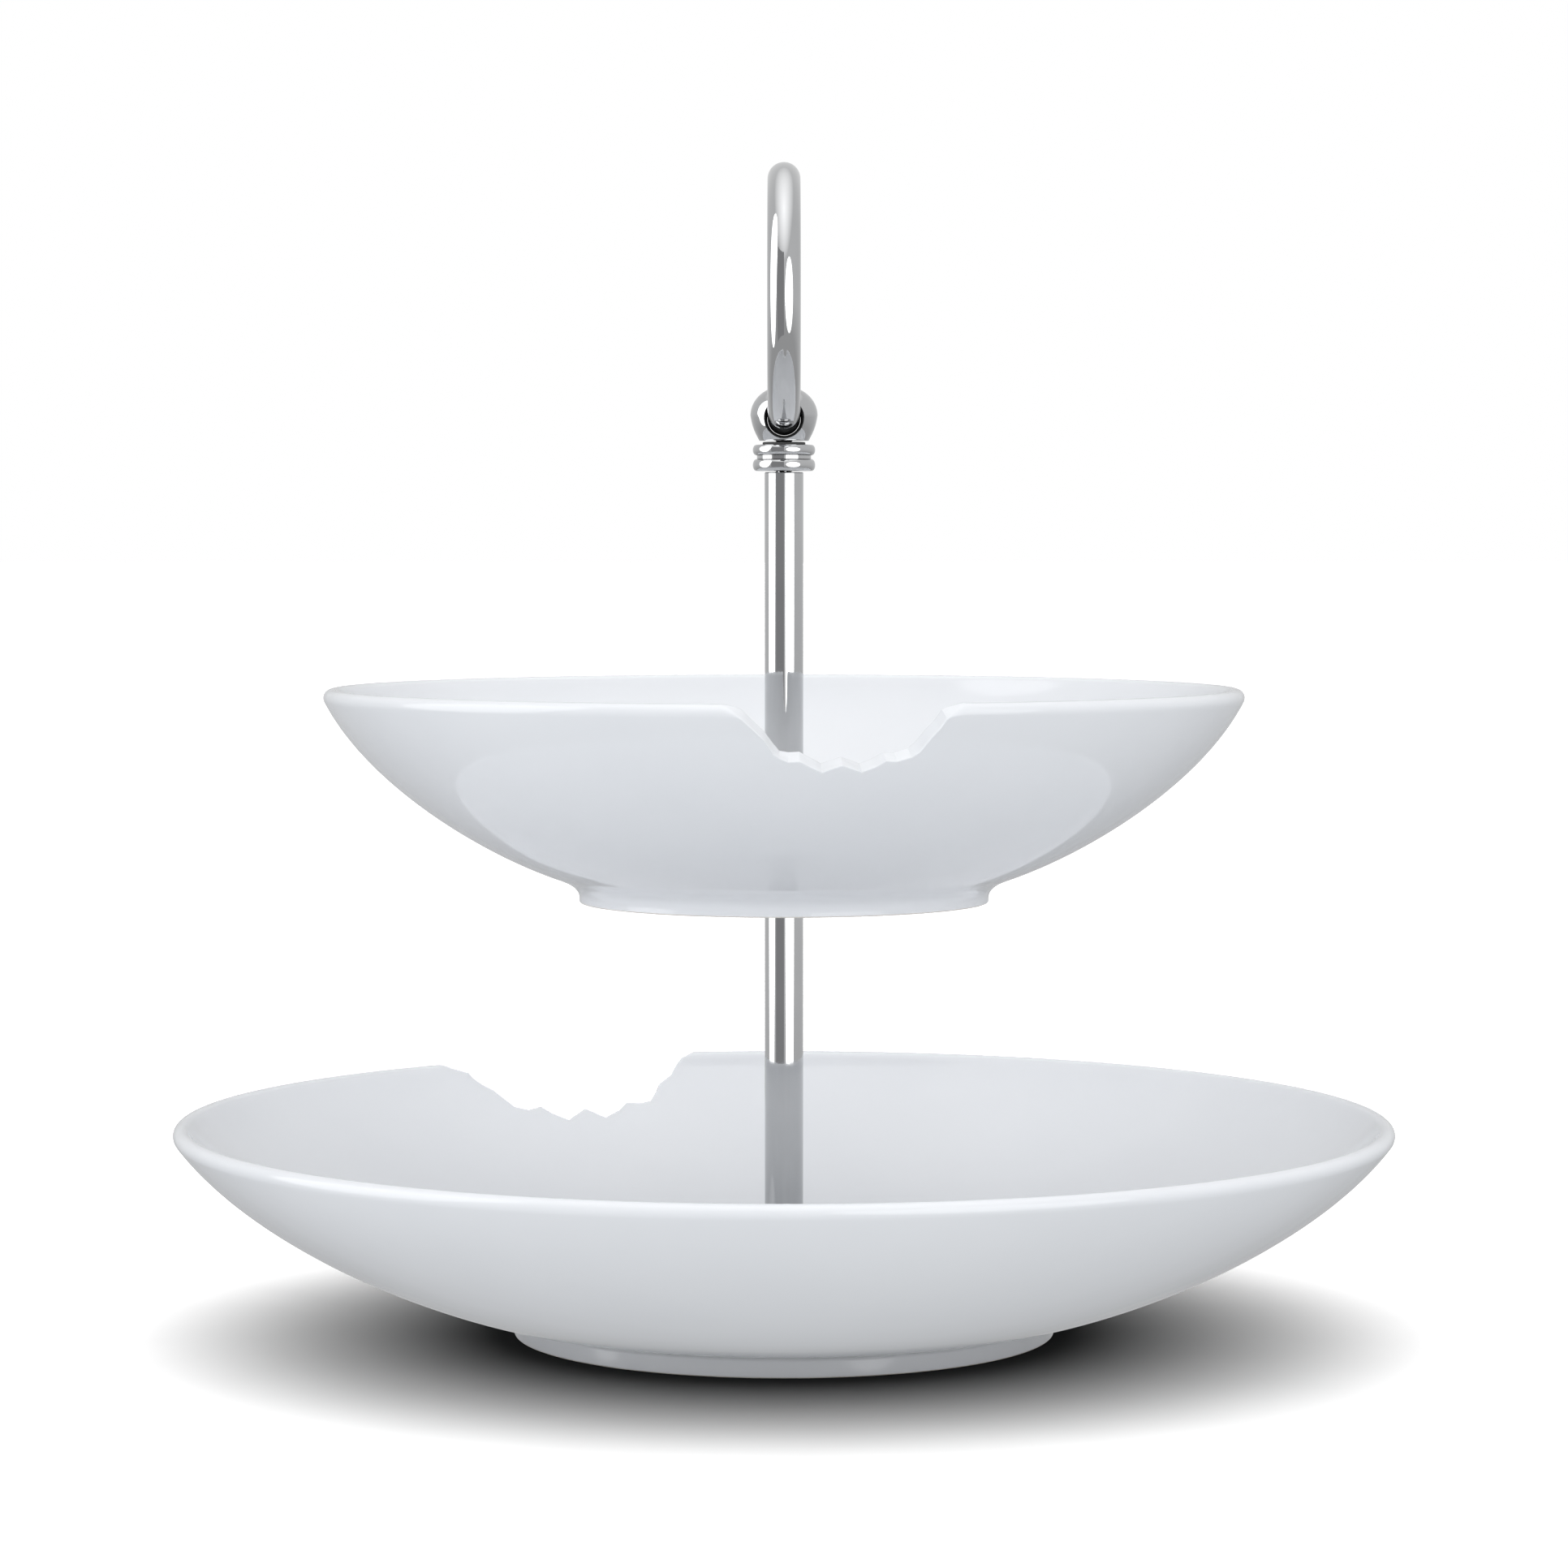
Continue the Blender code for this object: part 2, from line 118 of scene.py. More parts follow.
UPPER_BOWL = {
    "node": "upper_bowl",
    "body": "upper_tier",
    "foot_radius": 47.1 * MM,
    "recess": 5.4 * MM,
    "base_overhang": 5.6 * MM,
    "base_height": 5.7 * MM,
    "cove_bottom": 1.0 * MM,
    "base_slope": 19.3,
    "rim_slope": 62.8,
    "base_reach": 17.9 * MM,
    "rim_reach": 21.5 * MM,
    "notch_azimuth": -83.3,
    "notch_side": "outer",
    "notch": (
        (-13.9, 0), (-13.2, 0.5), (-12.3, 1.7), (-10.6, 4.8), (-9.1, 7.5), (-8.0, 10.4),
        (-7.3, 11.6), (-6.2, 12.2), (-4.8, 12.1), (-2.0, 14.6), (0.5, 13.1), (3.0, 14.6),
        (4.5, 13.6), (5.8, 12.2), (7.2, 12.3), (8.9, 11.4), (9.8, 10.0), (10.8, 7.1),
        (11.7, 5.0), (12.2, 3.2), (13.3, 1.5), (14.0, 0.3), (14.4, 0),
    ),
}

# Mast fittings
TUBE_WALL = 0.9 * MM
BORE_RADIUS = 2.3 * MM
THREAD_PITCH = 0.7 * MM
THREAD_DEPTH = 0.38 * MM
THREAD_FLAT = 1 / 6              # share of the pitch that is flat at the crest, and at the root
THREAD_TAPER = 1.2               # depth that the thread's ends taper to, in thread depths
THREAD_ROWS_PER_PITCH = 8
THREAD_END = 0.05 * MM           # plain length beyond the thread at a shank's end
THREAD_RELIEF = 0.4 * MM         # and next to a shoulder
SHANK_CHAMFER = 0.6 * MM
PLUG_CHAMFER = 0.3 * MM
PLUG_GROOVES = (0.3, 0.7)        # places of the grip grooves along a plug
PLUG_GROOVE_DEPTH = 0.2 * MM
PLUG_GROOVE_HALF = 0.25 * MM
PLUG_EDGE = 0.08 * MM
METAL_EDGE = 0.25 * MM
GASKET_EDGE = 0.3 * MM
BUSH_EDGE = 0.4 * MM
SCREW_HEAD_RIM = 0.7 * MM
SCREW_HEAD_EDGE = 0.2 * MM
SCREW_HEAD_STEPS = 16
SCREW_SLOT_WIDTH = 1.2 * MM
SCREW_SLOT_DEPTH = 0.9 * MM

# Finial
LOWER_BEAD_HEIGHT = 2.7 * MM
UPPER_BEAD_HEIGHT = 2.4 * MM
GROOVE_RADIUS = 6.2 * MM
GROOVE_HEIGHT = 0.9 * MM
NECK_RADIUS = 5.65 * MM
NECK_CHAMFER = 0.15 * MM
COLLAR_COLUMNS = 160
COLLAR_SHARP = 40.0
GAP = 0.3 * MM                   # between the collar and the eye, and round a threaded shank
BORE_CLEARANCE = 0.06 * MM       # between the ring's wire and the bore
NECK_RECESS = 0.75 * MM          # how far the collar's neck lies inside the eye's
EYE_RISE = 0.8 * MM              # the ball's middle over the bore's
EYE_STEPS = 40
EYE_COLUMNS = 160
EYE_CONE_STEPS = 12
EYE_SHARP = 35.0
EYE_CONE_BULGE = 0.35 * MM
JOINT_CORNER = 0.22 * MM         # how far the painted shade reaches from the bottom of a groove
BORE_OVERSHOOT = 0.6 * MM        # how far the tool that cuts the bore stands out of the ball
BORE_MARGIN = 0.02 * MM          # how near the bore's surface a face counts as part of it
BORE_STEPS = 61
BORE_COLUMNS = 128
RING_WIRE_RADIUS = 3.75 * MM
RING_STEPS = 288
WIRE_STEPS = 96

# Mesh making
TUBE_COLUMNS = 160
SLEEVE_COLUMNS = 128
BUSH_COLUMNS = 96
PLUG_COLUMNS = 96
STUD_COLUMNS = 48
SCREW_COLUMNS = 64
NEARLY_STRAIGHT = 88.0           # half of a corner's angle, past which it isn't rounded
ROUNDING_REACH = 0.48            # the share of a side that rounding a corner may take

# Colours
PORCELAIN_LOW = (0.780, 0.793, 0.818)
PORCELAIN_HIGH = (0.803, 0.815, 0.838)
CHROME_LOW = (0.50, 0.505, 0.512)
CHROME_HIGH = (0.56, 0.563, 0.568)
# painted shade: colour the chrome darkens to where faces crowd together
CREVICE_PAINTED_SHADE = (0.035, 0.034, 0.033)
CREVICE_DISTANCE = 0.7 * MM      # how near two chrome faces are where the painted shade darkens them
CREVICE_OPENNESS = (0.34, 0.74)  # where the painted shade is darkest, and where it ends


# ---------------------------------------------------------------- node materials

def principled(name):
    made = bpy.data.materials.new(name)
    made.use_nodes = True
    return made, made.node_tree, made.node_tree.nodes["Principled BSDF"]


def coordinates(tree, stretch=(1.0, 1.0, 1.0)):
    place = tree.nodes.new("ShaderNodeTexCoord")
    mapping = tree.nodes.new("ShaderNodeMapping")
    mapping.inputs["Scale"].default_value = stretch
    tree.links.new(place.outputs["Object"], mapping.inputs["Vector"])
    return mapping.outputs["Vector"]


def noise(tree, scale, detail=2.0, stretch=(1.0, 1.0, 1.0)):
    node = tree.nodes.new("ShaderNodeTexNoise")
    node.inputs["Scale"].default_value = scale
    node.inputs["Detail"].default_value = detail
    tree.links.new(coordinates(tree, stretch), node.inputs["Vector"])
    return node.outputs["Fac"]


def spread(tree, value, low, high, start=0.3, end=0.7):
    """The part of a value between start and end, spread from low to high."""
    node = tree.nodes.new("ShaderNodeMapRange")
    node.inputs["From Min"].default_value = start
    node.inputs["From Max"].default_value = end
    node.inputs["To Min"].default_value = low
    node.inputs["To Max"].default_value = high
    tree.links.new(value, node.inputs["Value"])
    return node.outputs["Result"]


def blend_colours(tree, factor, first, second):
    node = tree.nodes.new("ShaderNodeMix")
    node.data_type = "RGBA"
    node.inputs[6].default_value = (*first, 1.0)
    node.inputs[7].default_value = (*second, 1.0)
    tree.links.new(factor, node.inputs[0])
    return node.outputs[2]


def bump(tree, height, distance, below=None):
    node = tree.nodes.new("ShaderNodeBump")
    node.inputs["Strength"].default_value = 1.0
    node.inputs["Distance"].default_value = distance
    tree.links.new(height, node.inputs["Height"])
    if below is not None:
        tree.links.new(below, node.inputs["Normal"])
    return node.outputs["Normal"]


def make_porcelain():
    """Bluish white glaze with a little colour drift, slow waves and a fine pebbled skin."""
    made, tree, shader = principled("glazed_porcelain")
    shader.inputs["IOR"].default_value = 1.5
    drift = spread(tree, noise(tree, 22.0, 3.0), 0.0, 1.0)
    colour = blend_colours(tree, drift, PORCELAIN_LOW, PORCELAIN_HIGH)
    tree.links.new(colour, shader.inputs["Base Color"])
    rough = spread(tree, noise(tree, 60.0, 4.0), 0.055, 0.095)
    tree.links.new(rough, shader.inputs["Roughness"])
    waves = bump(tree, noise(tree, 28.0, 1.0), 0.05 * MM)
    skin = bump(tree, noise(tree, 700.0, 2.0), 0.0015 * MM, waves)
    tree.links.new(skin, shader.inputs["Normal"])
    return made


def make_bisque():
    """Bare, matt ceramic of the ground foot ring."""
    made, tree, shader = principled("bare_foot")
    stain = spread(tree, noise(tree, 130.0, 5.0), 0.0, 1.0)
    colour = blend_colours(tree, stain, (0.63, 0.60, 0.55), (0.76, 0.74, 0.70))
    tree.links.new(colour, shader.inputs["Base Color"])
    tree.links.new(spread(tree, noise(tree, 900.0, 3.0), 0.62, 0.85), shader.inputs["Roughness"])
    grain = bump(tree, noise(tree, 2400.0, 4.0), 0.03 * MM)
    tree.links.new(grain, shader.inputs["Normal"])
    return made


def make_chrome():
    """Mirror plating: slow waves, fine peel and thin haze, with painted shade darkening its
    crevices through ambient occlusion.
    """
    made, tree, shader = principled("chrome_plating")
    shader.inputs["Metallic"].default_value = 1.0
    haze = spread(tree, noise(tree, 45.0, 5.0), 0.0, 1.0)
    colour = blend_colours(tree, haze, CHROME_LOW, CHROME_HIGH)
    # painted shade: ambient occlusion darkens the colour in crevices and recesses
    crevice = tree.nodes.new("ShaderNodeAmbientOcclusion")
    crevice.samples = 8
    crevice.inputs["Distance"].default_value = CREVICE_DISTANCE
    openness = spread(tree, crevice.outputs["AO"], 0.0, 1.0, *CREVICE_OPENNESS)
    crevice_shaded = tree.nodes.new("ShaderNodeMix")
    crevice_shaded.data_type = "RGBA"
    crevice_shaded.inputs[6].default_value = (*CREVICE_PAINTED_SHADE, 1.0)
    tree.links.new(openness, crevice_shaded.inputs[0])
    tree.links.new(colour, crevice_shaded.inputs[7])
    tree.links.new(crevice_shaded.outputs[2], shader.inputs["Base Color"])
    rough = spread(tree, noise(tree, 240.0, 6.0), 0.018, 0.055)
    tree.links.new(rough, shader.inputs["Roughness"])
    waves = bump(tree, noise(tree, 90.0, 1.5, (1.0, 1.0, 0.35)), 0.010 * MM)
    peel = bump(tree, noise(tree, 1500.0, 2.0), 0.0012 * MM, waves)
    tree.links.new(peel, shader.inputs["Normal"])
    return made


def make_painted_joint_shade():
    """Painted shade: a dull dark surface for the eye's bore and the finial's grooves."""
    made, tree, shader = principled("painted_joint_shade")
    shader.inputs["Specular IOR Level"].default_value = 0.15
    shade_patches = spread(tree, noise(tree, 500.0, 4.0), 0.0, 1.0)
    colour = blend_colours(tree, shade_patches, (0.055, 0.055, 0.055), (0.085, 0.085, 0.084))
    tree.links.new(colour, shader.inputs["Base Color"])
    tree.links.new(spread(tree, noise(tree, 900.0, 3.0), 0.55, 0.7), shader.inputs["Roughness"])
    return made


def make_steel():
    """Mottled zinc plating with the rings that turning leaves."""
    made, tree, shader = principled("zinc_steel")
    shader.inputs["Metallic"].default_value = 1.0
    mottle = spread(tree, noise(tree, 420.0, 4.0), 0.0, 1.0)
    colour = blend_colours(tree, mottle, (0.47, 0.48, 0.50), (0.64, 0.65, 0.66))
    tree.links.new(colour, shader.inputs["Base Color"])
    tree.links.new(spread(tree, noise(tree, 1300.0, 3.0), 0.20, 0.38), shader.inputs["Roughness"])
    rings = tree.nodes.new("ShaderNodeTexWave")
    rings.wave_type = "RINGS"
    rings.rings_direction = "Z"
    rings.inputs["Scale"].default_value = 900.0
    rings.inputs["Distortion"].default_value = 1.5
    tree.links.new(coordinates(tree), rings.inputs["Vector"])
    tree.links.new(bump(tree, rings.outputs["Fac"], 0.004 * MM), shader.inputs["Normal"])
    return made


def make_brass():
    """Turned brass, dulled in patches."""
    made, tree, shader = principled("turned_brass")
    shader.inputs["Metallic"].default_value = 1.0
    patch = spread(tree, noise(tree, 300.0, 4.0), 0.0, 1.0)
    colour = blend_colours(tree, patch, (0.55, 0.38, 0.15), (0.76, 0.58, 0.27))
    tree.links.new(colour, shader.inputs["Base Color"])
    tree.links.new(spread(tree, noise(tree, 900.0, 3.0), 0.22, 0.42), shader.inputs["Roughness"])
    grooves = bump(tree, noise(tree, 500.0, 2.0, (0.2, 0.2, 6.0)), 0.01 * MM)
    tree.links.new(grooves, shader.inputs["Normal"])
    return made


def make_rubber():
    """Black moulded rubber with a dusty bloom."""
    made, tree, shader = principled("black_rubber")
    bloom = spread(tree, noise(tree, 350.0, 5.0), 0.0, 1.0)
    colour = blend_colours(tree, bloom, (0.018, 0.018, 0.019), (0.050, 0.050, 0.052))
    tree.links.new(colour, shader.inputs["Base Color"])
    tree.links.new(spread(tree, noise(tree, 800.0, 3.0), 0.55, 0.8), shader.inputs["Roughness"])
    tree.links.new(bump(tree, noise(tree, 2000.0, 3.0), 0.02 * MM), shader.inputs["Normal"])
    return made


MATERIALS = {
    "porcelain": make_porcelain(),
    "chrome": make_chrome(),
    "steel": make_steel(),
    "brass": make_brass(),
    "rubber": make_rubber(),
}
BISQUE = make_bisque()
# painted shade for the eye's bore and the collar's neck and groove corners
PAINTED_JOINT_SHADE = make_painted_joint_shade()


# ---------------------------------------------------------------- mesh helpers

stand = bpy.data.collections.new("stand")
bpy.context.scene.collection.children.link(stand)
BODY_OF_NODE = {}
for body_name, members in frame["record"]["behaviour"]["bodies"].items():
    for member in members:
        BODY_OF_NODE[member] = body_name
SLOT_OF_NODE = {row["node"]: row["material_slot"] for row in frame["record"]["subparts"]}


def new_mesh(name, points, faces):
    """A mesh whose faces point out."""
    mesh = bpy.data.meshes.new(name)
    mesh.from_pydata([tuple(point) for point in points], [], faces)
    mesh.update()
    volume = 0.0
    for polygon in mesh.polygons:
        volume += Vector(polygon.center).dot(polygon.normal) * polygon.area
    if volume < 0.0:
        mesh.flip_normals()
    mesh.validate()
    return mesh


def add_piece(name, mesh, node, sharp_degrees=SHARP):
    """Put a finished mesh in place of its CAD node, on the same body and with the same finish."""
    mesh.shade_smooth()
    mesh.set_sharp_from_angle(angle=math.radians(sharp_degrees))
    piece = bpy.data.objects.new(name, mesh)
    if not mesh.materials:
        mesh.materials.append(MATERIALS[SLOT_OF_NODE[node]])
    stand.objects.link(piece)
    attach(piece, BODY_OF_NODE[node])
    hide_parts(node)


def grid_faces(rows, columns, close_rows):
    """Quads of a grid whose columns close on themselves; vertex = row * columns + column."""
    faces = []
    for row in range(rows if close_rows else rows - 1):
        below = (row + 1) % rows
        for column in range(columns):
            beside = (column + 1) % columns
            faces.append((
                row * columns + column,
                below * columns + column,
                below * columns + beside,
                row * columns + beside,
            ))
    return faces


def cap_faces(rows, columns):
    """Fans from a grid's first and last rows to the two vertices that follow the grid's own."""
    first, last = rows * columns, rows * columns + 1
    end = (rows - 1) * columns
    faces = []
    for column in range(columns):
        beside = (column + 1) % columns
        faces.append((first, column, beside))
        faces.append((last, end + beside, end + column))
    return faces


def lathe_mesh(name, outline, segments, closed=True):
    """Revolve (radius, height) points about Z; an open outline starts and ends on the axis."""
    turns = np.arange(segments) * (math.tau / segments)
    cos, sin = np.cos(turns), np.sin(turns)
    rings = outline if closed else outline[1:-1]
    points = [
        (radius * c, radius * s, height) for radius, height in rings for c, s in zip(cos, sin)
    ]
    faces = grid_faces(len(rings), segments, closed)
    if not closed:
        points += [(0.0, 0.0, outline[0][1]), (0.0, 0.0, outline[-1][1])]
        faces += cap_faces(len(rings), segments)
    return new_mesh(name, points, faces)


def rounded(outline, radius, steps=5, closed=True):
    """Outline with each corner replaced by an arc; an open outline keeps its two ends."""
    corners = [Vector(point) for point in outline]
    count = len(corners)
    result = []
    for i, corner in enumerate(corners):
        if not closed and i in (0, count - 1):
            result.append(tuple(corner))
            continue
        back = corners[i - 1] - corner
        ahead = corners[(i + 1) % count] - corner
        half = back.angle(ahead) / 2
        if half > math.radians(NEARLY_STRAIGHT):
            result.append(tuple(corner))
            continue
        shorter = min(back.length, ahead.length)
        reach = min(radius / math.tan(half), ROUNDING_REACH * shorter)
        start = corner + back.normalized() * reach
        end = corner + ahead.normalized() * reach
        weight = math.sin(half)
        for k in range(steps + 1):
            t = k / steps
            s = 1.0 - t
            share = s * s + 2 * weight * s * t + t * t
            point = s * s * start + 2 * weight * s * t * corner + t * t * end
            result.append(tuple(point / share))
    return result


def sleeve_piece(node, inner, radius_of_edges, segments=SLEEVE_COLUMNS):
    """A turned ring or tube that fills its CAD box."""
    low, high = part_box(node)
    outline = [(high.x, high.z), (high.x, low.z), (inner, low.z), (inner, high.z)]
    mesh = lathe_mesh(node + "_fine", rounded(outline, radius_of_edges), segments)
    add_piece(node + "_fine", mesh, node)


def thread_rows(radius, low, high, columns):
    """Rings of an outside thread, from high down to low, as rows of (x, y, z) points."""
    turns = np.arange(columns) * (math.tau / columns)
    count = int(round((high - low) / THREAD_PITCH * THREAD_ROWS_PER_PITCH)) + 1
    rows = []
    for height in np.linspace(high, low, count):
        phase = (height / THREAD_PITCH - turns / math.tau) % 1.0
        from_crest = np.abs(2.0 * phase - 1.0) - THREAD_FLAT
        cut = np.clip(from_crest / (1.0 - 2.0 * THREAD_FLAT), 0.0, 1.0) * THREAD_DEPTH
        to_end = min(height - low, high - height) / THREAD_PITCH
        taper = max(0.0, 1.0 - to_end)
        at = np.minimum(radius - cut, radius - taper * THREAD_DEPTH * THREAD_TAPER)
        level = np.full(columns, height)
        rows.append(np.stack([at * np.cos(turns), at * np.sin(turns), level], 1))
    return rows


def ring_rows(outline, columns):
    """One ring of (x, y, z) points for each (radius, height)."""
    turns = np.arange(columns) * (math.tau / columns)
    rows = []
    for radius, height in outline:
        rows.append(np.stack([
            radius * np.cos(turns), radius * np.sin(turns), np.full(columns, height)
        ], 1))
    return rows


def rows_mesh(name, rows, top, bottom):
    """Close a stack of rings with a point on the axis at each end."""
    columns = len(rows[0])
    points = [tuple(point) for row in rows for point in row]
    points += [(0.0, 0.0, top), (0.0, 0.0, bottom)]
    faces = grid_faces(len(rows), columns, False) + cap_faces(len(rows), columns)
    return new_mesh(name, points, faces)


def subtract(mesh, cutter_mesh):
    """Boolean difference, applied."""
    body = bpy.data.objects.new("cut_body", mesh)
    cutter = bpy.data.objects.new("cut_tool", cutter_mesh)
    for item in (body, cutter):
        bpy.context.scene.collection.objects.link(item)
    modifier = body.modifiers.new("Cut", "BOOLEAN")
    modifier.operation = "DIFFERENCE"
    modifier.solver = "EXACT"
    modifier.object = cutter
    bpy.context.view_layer.update()
    evaluated = body.evaluated_get(bpy.context.evaluated_depsgraph_get())
    result = bpy.data.meshes.new_from_object(evaluated)
    bpy.data.objects.remove(body)
    bpy.data.objects.remove(cutter)
    return result


# ---------------------------------------------------------------- bowls

def direction(degrees):
    """Unit vector in the section plane, at an angle from the horizontal."""
    return np.array([math.cos(math.radians(degrees)), math.sin(math.radians(degrees))])


def bezier(start, start_handle, end_handle, end, count):
    """Points along a cubic curve."""
    t = np.linspace(0.0, 1.0, count)[:, None]
    s = 1.0 - t
    return s**3 * start + 3 * s * s * t * start_handle + 3 * s * t * t * end_handle + t**3 * end


class Curve:
    """A polyline in the section plane, read by distance from its first point."""

    def __init__(self, points):
        self.points = np.array(points)
        steps = np.linalg.norm(np.diff(self.points, axis=0), axis=1)
        self.reach = np.concatenate([[0.0], np.cumsum(steps)])
        self.length = self.reach[-1]

    def at(self, distance):
        return np.stack([np.interp(distance, self.reach, self.points[:, i]) for i in (0, 1)], -1)

    def back_along(self, distance):
        """Unit direction towards the first point."""
        step = 0.2 * MM
        ahead = self.at(np.asarray(distance) + step)
        behind = self.at(np.maximum(np.asarray(distance) - step, 0.0))
        along = behind - ahead
        return along / np.linalg.norm(along, axis=-1, keepdims=True)

    def distance_at_height(self, height):
        order = np.argsort(self.points[:, 1])
        return np.interp(height, self.points[order, 1], self.reach[order])


def bowl_curves(bowl, rim_radius, height):
    """Outer wall from the rim down, foot and floor underside, and inner wall from the rim down."""
    slope = bowl["rim_slope"]
    lip_centre = np.array([rim_radius - WALL / 2, height - WALL / 2])
    wall_end = lip_centre + direction(slope - 90.0) * WALL / 2
    wall_start = np.array([bowl["foot_radius"] + bowl["base_overhang"], bowl["base_height"]])
    outer = bezier(
        wall_end,
        wall_end - direction(slope) * bowl["rim_reach"],
        wall_start + direction(bowl["base_slope"]) * bowl["base_reach"],
        wall_start,
        CURVE_POINTS,
    )

    floor = bowl["recess"] + FLOOR_THICKNESS
    along = np.gradient(outer, axis=0)
    along /= np.linalg.norm(along, axis=1, keepdims=True)
    offset = outer + WALL * np.stack([along[:, 1], -along[:, 0]], 1)
    hole_end = HOLE_RADIUS + HOLE_CHAMFER
    radii = np.linspace(offset[0, 0], hole_end, 3 * CURVE_POINTS)
    heights = np.interp(radii, offset[::-1, 0], offset[::-1, 1])
    past = radii < offset[-1, 0]
    run_down = math.tan(math.radians(max(bowl["base_slope"], LEAST_RUN_DOWN)))
    heights[past] = offset[-1, 1] - (offset[-1, 0] - radii[past]) * run_down
    share = np.clip(1.0 - np.abs(heights - floor) / FLOOR_BLEND, 0.0, 1.0)
    heights = np.maximum(heights, floor) + share**2 * FLOOR_BLEND / 4

    foot = bowl["foot_radius"]
    foot_inner = foot - FOOT_WIDTH
    cove_end = np.array([foot, bowl["cove_bottom"]])
    handle = COVE_ROUNDNESS * np.linalg.norm(wall_start - cove_end)
    cove = bezier(
        wall_start,
        wall_start - direction(bowl["base_slope"]) * handle,
        cove_end + np.array([0.0, handle]),
        cove_end,
        COVE_STEPS,
    )
    foot_line = [(foot, FOOT_EDGE + 0.01 * MM), (foot, 0.0), (foot_inner, 0.0)]
    foot_line += [(foot_inner, bowl["recess"]), (HOLE_RADIUS, bowl["recess"])]
    foot_line += [(HOLE_RADIUS, floor), (hole_end, floor)]
    under = [tuple(point) for point in cove[1:]]
    under += rounded(foot_line, FOOT_EDGE, 6, closed=False)[1:-1]
    return Curve(outer), under, Curve(np.stack([radii, heights], 1))


def notch_columns(bowl, rng):
    """Angles of the mesh's columns from the notch's middle, and the cut's depth and lean there."""
    angles = np.array([point[0] for point in bowl["notch"]], float)
    depths = np.array([point[1] for point in bowl["notch"]], float) * MM
    margin = 4 * FINE_COLUMN
    fine = np.arange(angles[0] - margin, angles[-1] + margin, FINE_COLUMN)
    fine = np.array([a for a in fine if np.min(np.abs(angles - a)) > 0.3 * FINE_COLUMN])
    after, before = fine[-1] + 3 * FINE_COLUMN, fine[0] + 360.0 - 1.5 * FINE_COLUMN
    coarse = np.arange(after, before, COARSE_COLUMN)
    columns = np.sort(np.concatenate([angles, fine, coarse]))
    wrapped = np.where(columns > 180.0, columns - 360.0, columns)
    depth = np.interp(wrapped, angles, depths, left=0.0, right=0.0)
    leans = rng.uniform(-1.0, 1.0, len(angles)) * BREAK_TILT
    leans[[0, -1]] = 0.0
    lean = np.interp(wrapped, angles, leans, left=0.0, right=0.0)
    return columns, depth, lean


def bowl_piece(bowl):
    """Porcelain bowl as one closed skin: outer wall, foot, floor, inner wall and lip."""
    node = bowl["node"]
    low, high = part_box(node)
    rim_radius, height = high.x, high.z - low.z
    outer, under, inner = bowl_curves(bowl, rim_radius, height)
    rng = np.random.default_rng(SEED)
    columns, depth, lean = notch_columns(bowl, rng)
    half = WALL / 2

    # Distance cut off the rim along the wall, read on the side where the notch is measured
    side = outer if bowl["notch_side"] == "outer" else inner
    edge_depth = height - side.points[0, 1]
    below_lip = side.distance_at_height(height - depth)
    cut = np.where(depth > edge_depth, half + below_lip, half * depth / edge_depth)
    in_notch = np.clip(cut / WALL, 0.0, 1.0)
    cut_outer = cut + lean * in_notch / 2
    cut_inner = cut - lean * in_notch / 2
    start_outer = np.maximum(cut_outer - half + BREAK_EDGE, 0.0)
    start_inner = np.maximum(cut_inner - half + BREAK_EDGE, 0.0)
    level = np.clip(half - cut + (start_outer + start_inner) / 2, BREAK_EDGE, half)
    round_share = np.minimum(level / half, LARGEST_ROUNDING)

    share = np.linspace(0.0, 1.0, OUTER_ROWS)
    wall_share = ROW_CROWDING * share**2 + (1.0 - ROW_CROWDING) * share
    rows = []
    for t in wall_share:
        rows.append(outer.at(start_outer + (outer.length - start_outer) * t))
    for point in under:
        rows.append(np.tile(point, (len(columns), 1)))
    under_rows = (len(wall_share), len(wall_share) + len(under))
    inner_share = np.linspace(0.0, 1.0, INNER_ROWS)
    for t in inner_share[::-1]:
        rows.append(inner.at(start_inner + (inner.length - start_inner) * t))
    outer_top, inner_top = rows[0], rows[-1]
    up = outer.back_along(start_outer) + inner.back_along(start_inner)
    up /= np.linalg.norm(up, axis=1, keepdims=True)
    corner = np.radians(np.linspace(90.0, 0.0, LIP_STEPS))[1:]
    steps = [(-1.0, angle) for angle in corner]
    steps += [(place, None) for place in LIP_PLACES]
    steps += [(1.0, angle) for angle in corner[::-1]]
    phases = rng.uniform(0.0, math.tau, RIPPLE_WAVES)
    for sign, angle in steps:
        if angle is None:
            across = sign * (1.0 - round_share)
            lift = level.copy()
        else:
            across = sign * (1.0 - round_share + round_share * math.sin(angle))
            lift = level * math.cos(angle)
        ripple = np.zeros(len(columns))
        for k, phase in enumerate(phases):
            wave = columns * (1.1 + 0.9 * k) + 3.0 * across * (k - 2) + phase
            ripple += np.sin(wave) / RIPPLE_WAVES
        broken = np.clip((cut - half) / half, 0.0, 1.0) * (1.0 - np.abs(across) ** 6)
        lift += BREAK_RIPPLE * ripple * broken
        weight = ((across + 1.0) / 2)[:, None]
        rows.append(inner_top * (1 - weight) + outer_top * weight + up * lift[:, None])

    turns = np.radians(columns + bowl["notch_azimuth"])
    points = []
    for row in rows:
        points.append(np.stack([
            row[:, 0] * np.cos(turns), row[:, 0] * np.sin(turns), row[:, 1] + low.z
        ], 1))
    points = np.concatenate(points)
    mesh = new_mesh(node + "_glazed", points, grid_faces(len(rows), len(columns), True))
    mesh.materials.append(MATERIALS["porcelain"])
    mesh.materials.append(BISQUE)
    bare_height = low.z + BARE_HEIGHT
    for polygon in mesh.polygons:
        row = min(polygon.vertices) // len(columns)
        if under_rows[0] <= row < under_rows[1] and polygon.center.z < bare_height:
            polygon.material_index = 1
    add_piece(node + "_glazed", mesh, node, BOWL_SHARP)


# ---------------------------------------------------------------- mast and fittings

